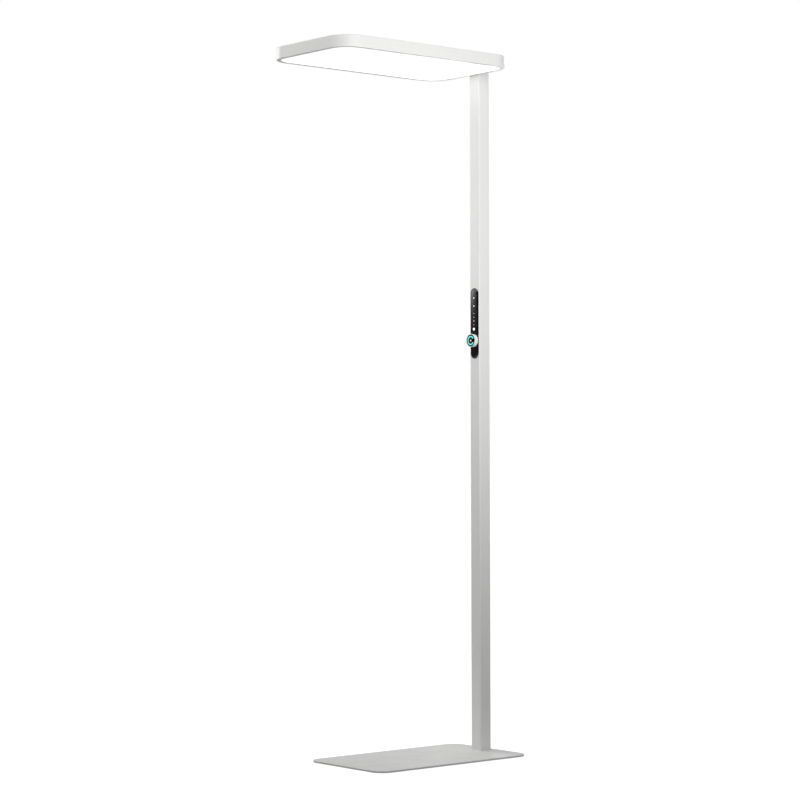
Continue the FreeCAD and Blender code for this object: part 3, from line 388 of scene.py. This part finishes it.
def finish(name, colour, roughness, grain=1.0, shade=0.03, relief=0.2, stretch=(1, 1, 1), **sockets):
    """A surface with a fine grain: its cell in mm, its change of shade and its relief.

    The grain's frequency along an axis is 1 / (grain * stretch), so a stretch of 90 draws a line.
    The colour is multiplied by 1 - shade to 1 with the grain, and the roughness by 0.9 to 1.1 with
    the clouds. sockets are further inputs of the shader. Where a real grain is too fine to show in
    a picture of the whole lamp, it is drawn at the finest size that shows.
    """
    material, tree = new_material(name)
    place = add(tree, "TexCoord").outputs["Object"]
    scale = [1 / (grain * MM * part) for part in stretch]
    fine = add(tree, "Mapping", {"Vector": place, "Scale": scale}).outputs[0]
    noise = {"Vector": fine, "Scale": 1.0, "Detail": 3.0}
    grains = add(tree, "TexNoise", noise).outputs["Fac"]
    noise = {"Vector": place, "Scale": CLOUDS_PER_METRE, "Detail": 2.0}
    clouds = add(tree, "TexNoise", noise).outputs["Fac"]
    level = {"Value": grains, "From Min": NOISE_LOW, "From Max": NOISE_HIGH}
    level.update({"To Min": 1 - shade, "To Max": 1.0})
    tone = add(tree, "MapRange", level).outputs[0]
    shaded = {0: linear(colour)[:3], "Scale": tone}
    tint = add(tree, "VectorMath", shaded, operation="SCALE").outputs[0]
    level = {"Value": clouds, "From Min": NOISE_LOW, "From Max": NOISE_HIGH}
    level["To Min"] = (1 - ROUGHNESS_SWING) * roughness
    level["To Max"] = (1 + ROUGHNESS_SWING) * roughness
    dull = add(tree, "MapRange", level).outputs[0]
    depth = grain * MM / GRAIN_WIDTH_TO_DEPTH
    bump = add(tree, "Bump", {"Height": grains, "Strength": relief, "Distance": depth}).outputs[0]
    inputs = {"Base Color": tint, "Roughness": dull, "Normal": bump}
    inputs.update({key.replace("_", " "): value for key, value in sockets.items()})
    shader = add(tree, "BsdfPrincipled", inputs)
    add(tree, "OutputMaterial", {"Surface": shader.outputs[0]})
    return material


# Textured powder coat: slightly speckled from above, with a soft shine at a flat angle. Its grain
# of about 0.3 mm is drawn at 3 mm.
textured_coat = finish("fine_textured_grey_coat", "E9E9E8", 0.22, grain=3.0, shade=0.07, relief=0.1)
dress("base_powder_coat", textured_coat)

BASE_CORNER = 39.0
BASE_EDGE = 0.8
BASE_SCREW_SPACING = 20.0
BASE_HOLE_RADIUS = 3.3
BASE_SINK_RADIUS = 6.1
HOLE_EDGE = 0.15
base_low, base_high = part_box("base_plate")
base_size = base_high - base_low
base_middle = ((base_low.x + base_high.x) / 2, (base_low.y + base_high.y) / 2)
base_shape = outline(base_size.x, base_size.y, BASE_CORNER * MM, base_middle, 24)
borders = [(edge_section(base_low.z, base_high.z, BASE_EDGE * MM), base_shape, 1)]
sink = (BASE_SINK_RADIUS - BASE_HOLE_RADIUS) * MM
hole_flat = FLAT_FROM * HOLE_EDGE * MM
hole_path = [
    (-sink + hole_flat, base_low.z),
    (-sink, base_low.z),
    (0, base_low.z + sink),
    (0, base_high.z),
    (hole_flat, base_high.z),
]
countersunk = softened(hole_path, HOLE_EDGE * MM)
for sign_x in (-1, 1):
    for sign_y in (-1, 1):
        spot = (sign_x * BASE_SCREW_SPACING / 2 * MM, post_y + sign_y * BASE_SCREW_SPACING / 2 * MM)
        borders.append((countersunk, disc(BASE_HOLE_RADIUS * MM, spot), -1))
plate_piece("base_plate_coated", borders, "base_powder_coat", "stand", ["base_plate"])


# ---- Underlay and steel fixings -----------------------------------------------------------------
# A die-cut sheet of foam, stuck under the plate, protects the floor. The foot block, the spacers,
# the nut plate and the screws inside are turned, milled or pressed steel, plated with zinc.

# Closed-cell foam: dark, quite matt and full of small pores.
dress("grey_foam", finish("closed_cell_foam", "6E6F70", 0.9, grain=0.8, shade=0.25, relief=0.8))

# Zinc plating: a cool metal, bright but a little blurred.
plated = finish("zinc_plated_steel", "B9BEC4", 0.32, grain=0.5, shade=0.08, Metallic=1.0)
dress("zinc_steel", plated)


# ---- Post ---------------------------------------------------------------------------------------
# A square aluminium tube, extruded and coated with satin white powder. It sits on the foot block,
# held by two screws from behind, and a flat ribbon cable of the controls runs up inside it.

# Satin powder coat: even and soft, with a broad shine. Its orange peel of under 1 mm is drawn at
# 1.2 mm.
dress("white_powder_coat", finish("satin_white_coat", "EFEFEE", 0.42, grain=1.2, shade=0.025))

# The same coat on a drawn tube: fine lines of the die run up the post under it.
DIE_LINE = (1, 1, 90)
drawn_coat = finish("satin_white_coat_on_drawn_tube", "EFEFEE", 0.4, 1.4, 0.035, 0.12, DIE_LINE)
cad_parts["post_profile"].data.materials[0] = drawn_coat

# Soft PVC of the ribbon cable and the display's lead: matt grey, with the ridges of its wires.
dress("cable_jacket", finish("grey_ribbon_cable", "B9BBBE", 0.5, 1.2, 0.3, 0.5, DIE_LINE))

# Paint on screw heads: as white as the post, a little glossier.
dress("white_screw", finish("painted_screw_head", "E9E9E8", 0.38, grain=0.6, shade=0.03))


# ---- Post cap -----------------------------------------------------------------------------------
# A moulded white ABS cap on top of the tube, with rounded edges. A hollow plug below it is pressed
# into the tube.

# Moulded ABS of the cap, the cable inlet and the clips: smooth, a little glossier than the coat.
dress("white_moulding", finish("white_moulding", "EEEEED", 0.35, grain=0.4, shade=0.02))

CAP_CORNER = 3.5
CAP_EDGE = 0.8
PLUG_GAP = 2.15
PLUG_WALL = 2.0
PLUG_CORNER = 1.5
cap_low, cap_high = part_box("post_cap")
cap_size = cap_high - cap_low
cap_middle = (0, post_y)
cap_path = [
    (CAP_EDGE * MM, post_high.z),
    (0, post_high.z),
    (0, cap_high.z),
    (FLAT_FROM * CAP_EDGE * MM, cap_high.z),
]
cap_section = softened(cap_path, [0, HOLE_EDGE * MM, CAP_EDGE * MM, 0])
cap_shape = outline(cap_size.x, cap_size.y, CAP_CORNER * MM, cap_middle)
plate_piece("post_cap_top", [(cap_section, cap_shape, 1)], "white_moulding", "stand", ["post_cap"])


def ring_piece(name, section, shape, slot, body, replaced=(), axes=LEVEL, origin=(0, 0, 0)):
    """A closed section carried right round an outline."""
    place, facing = carried(section, shape, 1, axes, origin)
    faces = woven(place.shape[0], place.shape[1], closed=True)
    return lamp_piece(name, [place], [facing], [faces], slot, body, replaced)


plug_side = cap_size.x - 2 * PLUG_GAP * MM
plug_path = [
    (0, cap_low.z),
    (0, post_high.z),
    (PLUG_WALL * MM, post_high.z),
    (PLUG_WALL * MM, cap_low.z),
]
plug_section = softened(plug_path, HOLE_EDGE * MM, closed=True)
plug_shape = outline(plug_side, plug_side, (PLUG_CORNER + PLUG_WALL) * MM, cap_middle)
ring_piece("post_cap_plug", plug_section, plug_shape, "white_moulding", "stand")


# ---- Cable inlet --------------------------------------------------------------------------------
# A moulded white bush low in the post's back, where a mains lead enters. Its flange sits on the
# tube, and a nut on its sleeve holds it from inside.

# The outline lies in the plane of the back, and the height points backwards.
TO_BACK = np.array([[0, 0, 1], [1, 0, 0], [0, 1, 0]])
INLET_BORE = 3.7
INLET_SLEEVE = 6.0
INLET_FLANGE = 9.0
INLET_EDGE = 1.2
INLET_FINE_EDGE = 0.3
INLET_FLANGE_ROOT = 0.1
inlet_low, inlet_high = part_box("cable_inlet")
inlet_z = (inlet_low.z + inlet_high.z) / 2
inlet_path = [
    (INLET_BORE, inlet_low.y / MM, INLET_FINE_EDGE),
    (INLET_SLEEVE, inlet_low.y / MM, INLET_FINE_EDGE),
    (INLET_SLEEVE, post_high.y / MM, INLET_FLANGE_ROOT),
    (INLET_FLANGE, post_high.y / MM, INLET_FINE_EDGE),
    (INLET_FLANGE, inlet_high.y / MM, INLET_EDGE),
    (INLET_BORE, inlet_high.y / MM, INLET_EDGE),
]
inlet_radii = np.array([edge for radius, y, edge in inlet_path]) * MM
inlet_corners = [((INLET_FLANGE - radius) * MM, y * MM) for radius, y, edge in inlet_path]
inlet_section = softened(inlet_corners, inlet_radii, closed=True)
inlet_shape = disc(INLET_FLANGE * MM, (inlet_z, 0), 24)
ring_piece(
    "cable_inlet_bush", inlet_section, inlet_shape, "white_moulding", "stand", ["cable_inlet"], TO_BACK
)


# ---- Head frame ---------------------------------------------------------------------------------
# An extruded aluminium profile, bent round four corners, joined and coated white. Its lip below
# holds the opal sheet, and a screw channel along its top carries the cover.

HEAD_CORNER = 65.0
FRAME_EDGE = 1.2
FRAME_WALL = 1.8
LIP_WIDTH = 13.0
LIP_THICKNESS = 1.6
LIP_EDGE = 0.4 * LIP_THICKNESS
CHANNEL_LEDGE = 2.4
CHANNEL_SLOT = 2.6
CHANNEL_WALL = 1.2
CHANNEL_DEPTH = 4.8
FRAME_INNER_EDGE = 0.15
head_low, head_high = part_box("head_frame")
head_size = head_high - head_low
head_middle = ((head_low.x + head_high.x) / 2, (head_low.y + head_high.y) / 2)
cover_low, cover_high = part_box("top_cover")
low = head_low.z / MM
top = head_high.z / MM
seat = cover_low.z / MM
slot_start = FRAME_WALL + CHANNEL_LEDGE
slot_end = slot_start + CHANNEL_SLOT
channel_inner = slot_end + CHANNEL_WALL
slot_low = seat - CHANNEL_DEPTH
frame_path = [
    (0, low),
    (0, top),
    (FRAME_WALL, top),
    (FRAME_WALL, seat),
    (slot_start, seat),
    (slot_start, slot_low),
    (slot_end, slot_low),
    (slot_end, seat),
    (channel_inner, seat),
    (channel_inner, slot_low - CHANNEL_WALL),
    (slot_start, slot_low - CHANNEL_WALL),
    (FRAME_WALL, slot_low - CHANNEL_WALL - CHANNEL_LEDGE),
    (FRAME_WALL, low + LIP_THICKNESS),
    (LIP_WIDTH, low + LIP_THICKNESS),
    (LIP_WIDTH, low),
]
frame_radii = np.full(len(frame_path), FRAME_INNER_EDGE)
frame_radii[:2] = FRAME_EDGE
frame_radii[-2:] = LIP_EDGE
frame_section = softened(np.array(frame_path) * MM, frame_radii * MM, closed=True)
head_shape = outline(head_size.x, head_size.y, HEAD_CORNER * MM, head_middle, 32)
replaced = ["head_frame"]
head = ring_piece("head_frame_profile", frame_section, head_shape, "white_powder_coat", "stand", replaced)

# The coat on the bent profile: the lines of its die run level, right round the head.
BENT_LINE = (70, 70, 1)
bent_coat = finish("satin_white_coat_on_bent_profile", "EFEFEE", 0.38, 1.3, 0.04, 0.12, BENT_LINE)
head.data.materials[0] = bent_coat


# ---- Lit and electric parts of the head ---------------------------------------------------------
# Light-emitting diodes on strips shine into the long edges of a clear guide, and a white film
# turns the light down through an opal sheet. A folded steel tray above carries the driver.


def white_light(strength):
    """The shader's inputs for a surface that glows white."""
    return {"Emission_Color": linear("FFFFFF"), "Emission_Strength": strength}


# Opal acrylic, lit from behind: an even white with no sign of its light sources.
DIFFUSER_GLOW = 0.8
opal = finish("lit_opal_acrylic", "F4F4F2", 0.35, grain=1.5, shade=0.01, **white_light(DIFFUSER_GLOW))
dress("opal_diffuser", opal)

# Clear cast acrylic: glossy, with barely any tint.
clear = finish("clear_acrylic", "F8FBFB", 0.08, shade=0.01, relief=0.02, Transmission_Weight=0.9)
dress("clear_acrylic", clear)

# Foamed polyester film: bright, matt white.
dress("reflector_film", finish("white_reflector_film", "F6F6F4", 0.5, grain=0.8, shade=0.02))

# White solder mask on a circuit board: a dull shine over the weave of the glass cloth.
dress("circuit_white", finish("white_circuit_board", "E8E9E6", 0.45, grain=2.0, shade=0.05))

# Silicone over phosphor: yellow when unlit, slightly grainy.
dress("led_phosphor", finish("led_phosphor", "F1D774", 0.4, grain=0.5, shade=0.08))

# Galvanised sheet of the tray and the bracket: grey metal with large flakes of zinc, each with its
# own shade.
FLAKE = 9.0
flaked = finish("galvanised_sheet", "AEB3B6", 0.38, FLAKE, shade=0.22, relief=0.1, Metallic=0.9)
dress("galvanised_sheet", flaked)

# Moulded cases of the driver and the terminals: off-white polycarbonate, quite matt.
dress("driver_case", finish("driver_case", "E4E4E0", 0.5, grain=0.6, shade=0.04))
dress("terminal_plastic", finish("terminal_plastic", "D9D9D4", 0.45, grain=0.4, shade=0.04))


# ---- Top cover ----------------------------------------------------------------------------------
# A white coated sheet, let into the frame's top and held by eight countersunk screws. Two long
# windows in it show frosted panes for the light that goes up.

# Frosted acrylic, lit from behind: white, matt and slightly uneven.
PANE_GLOW = 0.7
frosted = finish("lit_frosted_pane", "F2F2F0", 0.5, grain=0.6, shade=0.02, **white_light(PANE_GLOW))
dress("frosted_pane", frosted)

COVER_INSET = 2.2
COVER_EDGE = 0.25
WINDOW_WIDTH = 60.0
WINDOW_LENGTH = 430.0
WINDOW_CORNER = 8.0
WINDOW_CENTRE = 85.0
COVER_SCREW_PITCH = 200.0
COVER_SCREW_INSET = 5.5
COVER_HOLE_RADIUS = 1.55
COVER_SINK_RADIUS = 2.7
cover_size = cover_high - cover_low
cover_corner = (HEAD_CORNER - COVER_INSET) * MM
cover_shape = outline(cover_size.x, cover_size.y, cover_corner, head_middle, 32)
cover_edge = edge_section(cover_low.z, cover_high.z, COVER_EDGE * MM)
borders = [(cover_edge, cover_shape, 1)]
for sign in (-1, 1):
    middle = (sign * WINDOW_CENTRE * MM, head_middle[1])
    window = outline(WINDOW_WIDTH * MM, WINDOW_LENGTH * MM, WINDOW_CORNER * MM, middle)
    borders.append((cover_edge, window, -1))
sink = (COVER_SINK_RADIUS - COVER_HOLE_RADIUS) * MM
bevel = HOLE_EDGE * MM / 2
screw_path = [
    (FLAT_FROM * bevel, cover_low.z),
    (0, cover_low.z),
    (0, cover_high.z - sink),
    (-sink, cover_high.z),
    (FLAT_FROM * bevel - sink, cover_high.z),
]
screw_hole = softened(screw_path, bevel)
spots = []
for sign in (-1, 1):
    spots.append((0, head_middle[1] + sign * (head_size.y / 2 - COVER_SCREW_INSET * MM)))
    for step in (-1, 0, 1):
        across = sign * (head_size.x / 2 - COVER_SCREW_INSET * MM)
        spots.append((across, head_middle[1] + step * COVER_SCREW_PITCH * MM))
borders += [(screw_hole, disc(COVER_HOLE_RADIUS * MM, spot), -1) for spot in spots]
plate_piece("top_cover_coated", borders, "white_powder_coat", "stand", ["top_cover"])


# ---- Control panel ------------------------------------------------------------------------------
# A moulded black acrylic plate with a wide bevel and round ends, polished and snapped into the
# front of the post. Holes in it take the light pins, the lens, a sensor window and the knob's bush.

# Polished black acrylic: deep black, with clear reflections along its bevel.
polished = finish("polished_black_acrylic", "060607", 0.2, grain=0.8, shade=0.1, relief=0.01)
dress("black_gloss_panel", polished)

# Moulded black ABS of the housing, the switch and the knob's core: matt, just short of black.
dress("black_moulding", finish("black_moulding", "1A1A1B", 0.5, grain=0.4, shade=0.08))

# Green solder mask over copper: a mottled dark green with some shine.
dress("circuit_green", finish("green_circuit_board", "1F5A3A", 0.35, grain=2.0, shade=0.2))

# Smoked acrylic: a glossy dark grey window.
dress("smoked_window", finish("smoked_window", "26262A", 0.12, grain=0.5, shade=0.05))

# Milky polyethylene, with a painted glow in place of the light that falls on it: the one bright spot of
# the panel.
LENS_PAINTED_GLOW = 0.6
painted_glow_lens = finish("milky_lens", "F4F4F4", 0.3, grain=0.8, shade=0.04, **white_light(LENS_PAINTED_GLOW))
dress("milky_lens", painted_glow_lens)

# Nickel-plated can: a warm, fairly bright metal.
dress("nickel_can", finish("nickel_can", "C9C6BE", 0.28, grain=0.5, shade=0.06, Metallic=1.0))

# The outline lies in the plane of the front, and the height points forwards.
TO_FRONT = np.array([[1, 0, 0], [0, 0, 1], [0, -1, 0]])
BEVEL_WIDTH = 4.2
PANEL_EDGE = 0.8
BEVEL_BLEND = 2.0
PANEL_BACK_EDGE = 0.2
FLAT_EDGE = 0.6
FACE_CROWN = 0.2
LIGHTS_FROM_TOP = [28.0, 51.0, 72.0, 82.7, 93.4, 104.1]
LIGHT_RADII = [2.0, 2.0, 1.1, 1.1, 1.1, 1.1]
LENS_FROM_TOP = 116.5
LENS_RADIUS = 4.0
SENSOR_FROM_TOP = 181.5
SENSOR_RADIUS = 1.6
BUSH_RADIUS = 6.5
HOLE_FIT = 0.15
panel_low, panel_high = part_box("control_fascia")
panel_size = panel_high - panel_low
panel_middle = (0, (panel_low.z + panel_high.z) / 2)
ring_low, ring_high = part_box("knob_ring")
knob_middle = (0, (ring_low.z + ring_high.z) / 2)
thick = panel_size.y
panel_path = [
    (FLAT_FROM * PANEL_BACK_EDGE * MM, 0),
    (0, 0),
    (0, PANEL_EDGE * MM),
    (BEVEL_WIDTH * MM, thick),
    ((BEVEL_WIDTH + FLAT_EDGE) * MM, thick),
]
panel_radii = np.array([0, PANEL_BACK_EDGE, PANEL_BACK_EDGE, BEVEL_BLEND, 0]) * MM
panel_section = softened(panel_path, panel_radii)
panel_shape = outline(panel_size.x, panel_size.z, panel_size.x / 2, panel_middle, 24)
borders = [(panel_section, panel_shape, 1)]
through = edge_section(0, thick, HOLE_EDGE * MM / 2)
panel_holes = list(zip(LIGHT_RADII, LIGHTS_FROM_TOP))
panel_holes += [(LENS_RADIUS, LENS_FROM_TOP), (SENSOR_RADIUS, SENSOR_FROM_TOP)]
panel_holes.append((BUSH_RADIUS, (panel_high.z - knob_middle[1]) / MM))
for radius, drop in panel_holes:
    spot = (0, panel_high.z - drop * MM)
    borders.append((through, disc((radius + HOLE_FIT) * MM, spot, 8), -1))
panel_origin = (0, panel_high.y, 0)
flat_half = panel_size.x / 2 - (BEVEL_WIDTH + FLAT_EDGE) * MM
straight = np.array([panel_low.z, panel_high.z]) + [panel_size.x / 2, -panel_size.x / 2]


def crowned(points):
    """Face points lifted by crown * (1 - (d / half)^2), d from the middle line, and their normals."""
    off = (points * [1, 0, 1]).astype(float)
    off[:, 2] -= np.clip(points[:, 2], *straight)
    share = (off ** 2).sum(axis=1) / flat_half ** 2
    lift = FACE_CROWN * MM * np.clip(1 - share, 0, 1)
    normals = off * 2 * FACE_CROWN * MM / flat_half ** 2 + [0, -1, 0]
    return points - lift[:, None] * [0, 1, 0], normals / np.linalg.norm(normals, axis=1)[:, None]


plate_piece(
    "control_fascia_polished",
    borders,
    "black_gloss_panel",
    "stand",
    ["control_fascia"],
    TO_FRONT,
    panel_origin,
    crowned,
)


# ---- Light pins ---------------------------------------------------------------------------------
# Clear acrylic pins, pushed through the panel from behind. Each carries the light of one diode to
# the face: two modes at the top, and four levels below them.

LIGHT_GLOW = [0.45, 0.5, 0.6, 0.6, 0.95, 0.5]
pipe_low, pipe_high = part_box("light_pipes")
pin_section = edge_section(0, pipe_high.y - pipe_low.y, HOLE_EDGE * MM)
pin_origin = (0, pipe_high.y, 0)
for i, (radius, drop, strength) in enumerate(zip(LIGHT_RADII, LIGHTS_FROM_TOP, LIGHT_GLOW)):
    shape = disc(radius * MM, (0, panel_high.z - drop * MM), 8)
    pin = plate_piece(
        "light_pin_%d" % i,
        [(pin_section, shape, 1)],
        "clear_acrylic",
        "stand",
        ["light_pipes"],
        TO_FRONT,
        pin_origin,
    )
    # The lit end of a pin: a small soft white, as bright as its own diode.
    lit_end = finish("lit_pin_%d" % i, "F4F4F4", 0.3, shade=0.02, **white_light(strength))
    pin.data.materials[0] = lit_end


# ---- Knob ring ----------------------------------------------------------------------------------
# A moulded white ABS ring that turns without end on the knob's core. A magnet ring on its web
# tells the board how far it has turned, and the core slides in a turned brass bush.

# Satin ABS: the whitest part of the lamp, with a soft shine round its rim.
dress("knob_white", finish("satin_white_knob", "FAFAFA", 0.3, grain=0.4, shade=0.015))

# Bonded magnet powder: matt charcoal, grainy.
dress("magnet_black", finish("bonded_magnet", "2A2A2C", 0.6, grain=0.5, shade=0.2))

# Turned brass: a warm yellow metal with fine tool marks.
dress("bush_brass", finish("turned_brass", "C8A65A", 0.3, grain=0.6, shade=0.1, Metallic=1.0))

KNOB_EDGE = 0.6
KNOB_RIM = 1.4
RIM_EDGE = 0.3 * KNOB_RIM
KNOB_SKIRT = 1.8
WEB_FRONT = 5.75
WEB_BACK = 8.25
HUB_FIT = 11.05
knob_radius = (ring_high.x - ring_low.x) / 2 / MM
knob_length = (ring_high.y - ring_low.y) / MM
knob_path = [
    (0, 0),
    (0, knob_length),
    (KNOB_RIM, knob_length),
    (KNOB_RIM, knob_length - WEB_FRONT),
    (knob_radius - HUB_FIT, knob_length - WEB_FRONT),
    (knob_radius - HUB_FIT, knob_length - WEB_BACK),
    (KNOB_SKIRT, knob_length - WEB_BACK),
    (KNOB_SKIRT, 0),
]
knob_radii = np.full(len(knob_path), HOLE_EDGE)
knob_radii[:2] = KNOB_EDGE
knob_radii[2] = RIM_EDGE
knob_section = softened(np.array(knob_path) * MM, knob_radii * MM, closed=True)
ring_piece(
    "knob_ring_moulded",
    knob_section,
    disc(knob_radius * MM, knob_middle, 32),
    "knob_white",
    "knob_ring",
    ["knob_ring"],
    TO_FRONT,
    (0, ring_high.y, 0),
)


# ---- Knob display -------------------------------------------------------------------------------
# A round black glass with a small display under it, set in the knob's core, which doesn't turn.
# The picture is an open cyan ring for the level, with a warm dot in the middle.

# The display's module under the glass: dark, half glossy plastic.
dress("display_module", finish("display_module", "101012", 0.3, grain=0.5, shade=0.1))

# Polished glass over black: the sharpest reflections on the lamp.
dress("display_glass", finish("display_glass", "040405", 0.06, grain=2.0, shade=0.1, relief=0.005))

GLASS_BEVEL = 0.3
glass_low, glass_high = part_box("knob_glass")
glass_radius = (glass_high.x - glass_low.x) / 2
glass_section = edge_section(0, glass_high.y - glass_low.y, GLASS_BEVEL * MM)
plate_piece(
    "knob_glass_polished",
    [(glass_section, disc(glass_radius, knob_middle, 32), 1)],
    "display_glass",
    "knob_core",
    ["knob_glass"],
    TO_FRONT,
    (0, glass_high.y, 0),
)


def lit_by_radius(name, stops, strength):
    """A light whose colour follows the distance from the knob's axis.

    stops are (mm, hex). The distance is the length of the place's x and z, with z measured from the
    axis, and the colour is mixed evenly between the two stops that it lies between.
    """
    material, tree = new_material(name)
    place = add(tree, "TexCoord").outputs["Object"]
    centred = add(tree, "VectorMath", {0: place, 1: (0, 0, knob_middle[1])}, operation="SUBTRACT")
    level = add(tree, "VectorMath", {0: centred.outputs[0], 1: (1, 0, 1)}, operation="MULTIPLY")
    distance = add(tree, "VectorMath", {0: level.outputs[0]}, operation="LENGTH").outputs["Value"]
    reach = stops[-1][0]
    share = add(tree, "Math", {0: distance, 1: reach * MM}, operation="DIVIDE").outputs[0]
    ramp = add(tree, "ValToRGB", {"Fac": share})
    points = ramp.color_ramp.elements
    for i, (radius, colour) in enumerate(stops):
        point = points[i] if i < 2 else points.new(1)
        point.position = radius / reach
        point.color = linear(colour)
    inputs = {"Base Color": linear("080809"), "Roughness": 0.1, "Emission Color": ramp.outputs[0]}
    shader = add(tree, "BsdfPrincipled", {**inputs, "Emission Strength": strength})
    add(tree, "OutputMaterial", {"Surface": shader.outputs[0]})
    return material


def stroke(middle_radius, half_width, start, end, middle, steps=48, cap_steps=12):
    """The outline of a round-ended stroke along a circle, from one angle to another, in degrees.

    Its arc centres lie on the circle of the middle radius. Its directions point outwards on the way
    there, turn half round at the end, point inwards on the way back, and turn half round again.
    """
    along = np.radians(np.linspace(start, end, steps))
    cap = np.radians(np.linspace(0, 180, cap_steps + 1)[1:-1])
    spin = np.concatenate([along, along[-1] + cap, along[::-1] + math.pi, along[0] + math.pi + cap])
    ends = [along, np.full(cap.size, along[-1]), along[::-1], np.full(cap.size, along[0])]
    turn = np.concatenate(ends)
    centre = middle + middle_radius * np.stack([np.cos(turn), np.sin(turn)], axis=-1)
    return centre, np.stack([np.cos(spin), np.sin(spin)], axis=-1), half_width


PICTURE_RELIEF = 0.05
PICTURE_GLOW = 1.1
ARC_MIDDLE = 11.3
ARC_HALF = 2.1
ARC_CORE = 0.8
ARC_GAP = 35
DOT_REACH = 5.4
picture_path = np.array([(0, 0), (0, PICTURE_RELIEF * MM)])
picture_section = (picture_path, np.array([(-1.0, 0.0), (0.0, 1.0)]))
picture_origin = (0, glass_low.y, 0)
arc = stroke(ARC_MIDDLE * MM, ARC_HALF * MM, ARC_GAP, 360 - ARC_GAP, knob_middle)
borders = [(picture_section, arc, 1)]
level_arc = plate_piece(
    "display_level_arc", borders, "display_module", "knob_core", (), TO_FRONT, picture_origin
)
borders = [(picture_section, disc(DOT_REACH * MM, knob_middle), 1)]
lamp_dot = plate_piece(
    "display_lamp_dot", borders, "display_module", "knob_core", (), TO_FRONT, picture_origin
)

# Lit pixels of the level: a cyan band, palest along its middle.
cyan = [
    (ARC_MIDDLE - ARC_HALF, "28C4CC"),
    (ARC_MIDDLE - ARC_CORE, "6CFAFA"),
    (ARC_MIDDLE + ARC_CORE, "6CFAFA"),
    (ARC_MIDDLE + ARC_HALF, "28C4CC"),
]
level_arc.data.materials[0] = lit_by_radius("cyan_level_light", cyan, PICTURE_GLOW)

# Lit pixels of the dot: yellow in the middle, then a red rim that fades into the black.
warm = [(0, "FFE27A"), (2.0, "FFC850"), (2.9, "D8324A"), (4.2, "8E1430"), (DOT_REACH, "0A0204")]
lamp_dot.data.materials[0] = lit_by_radius("warm_lamp_light", warm, PICTURE_GLOW)
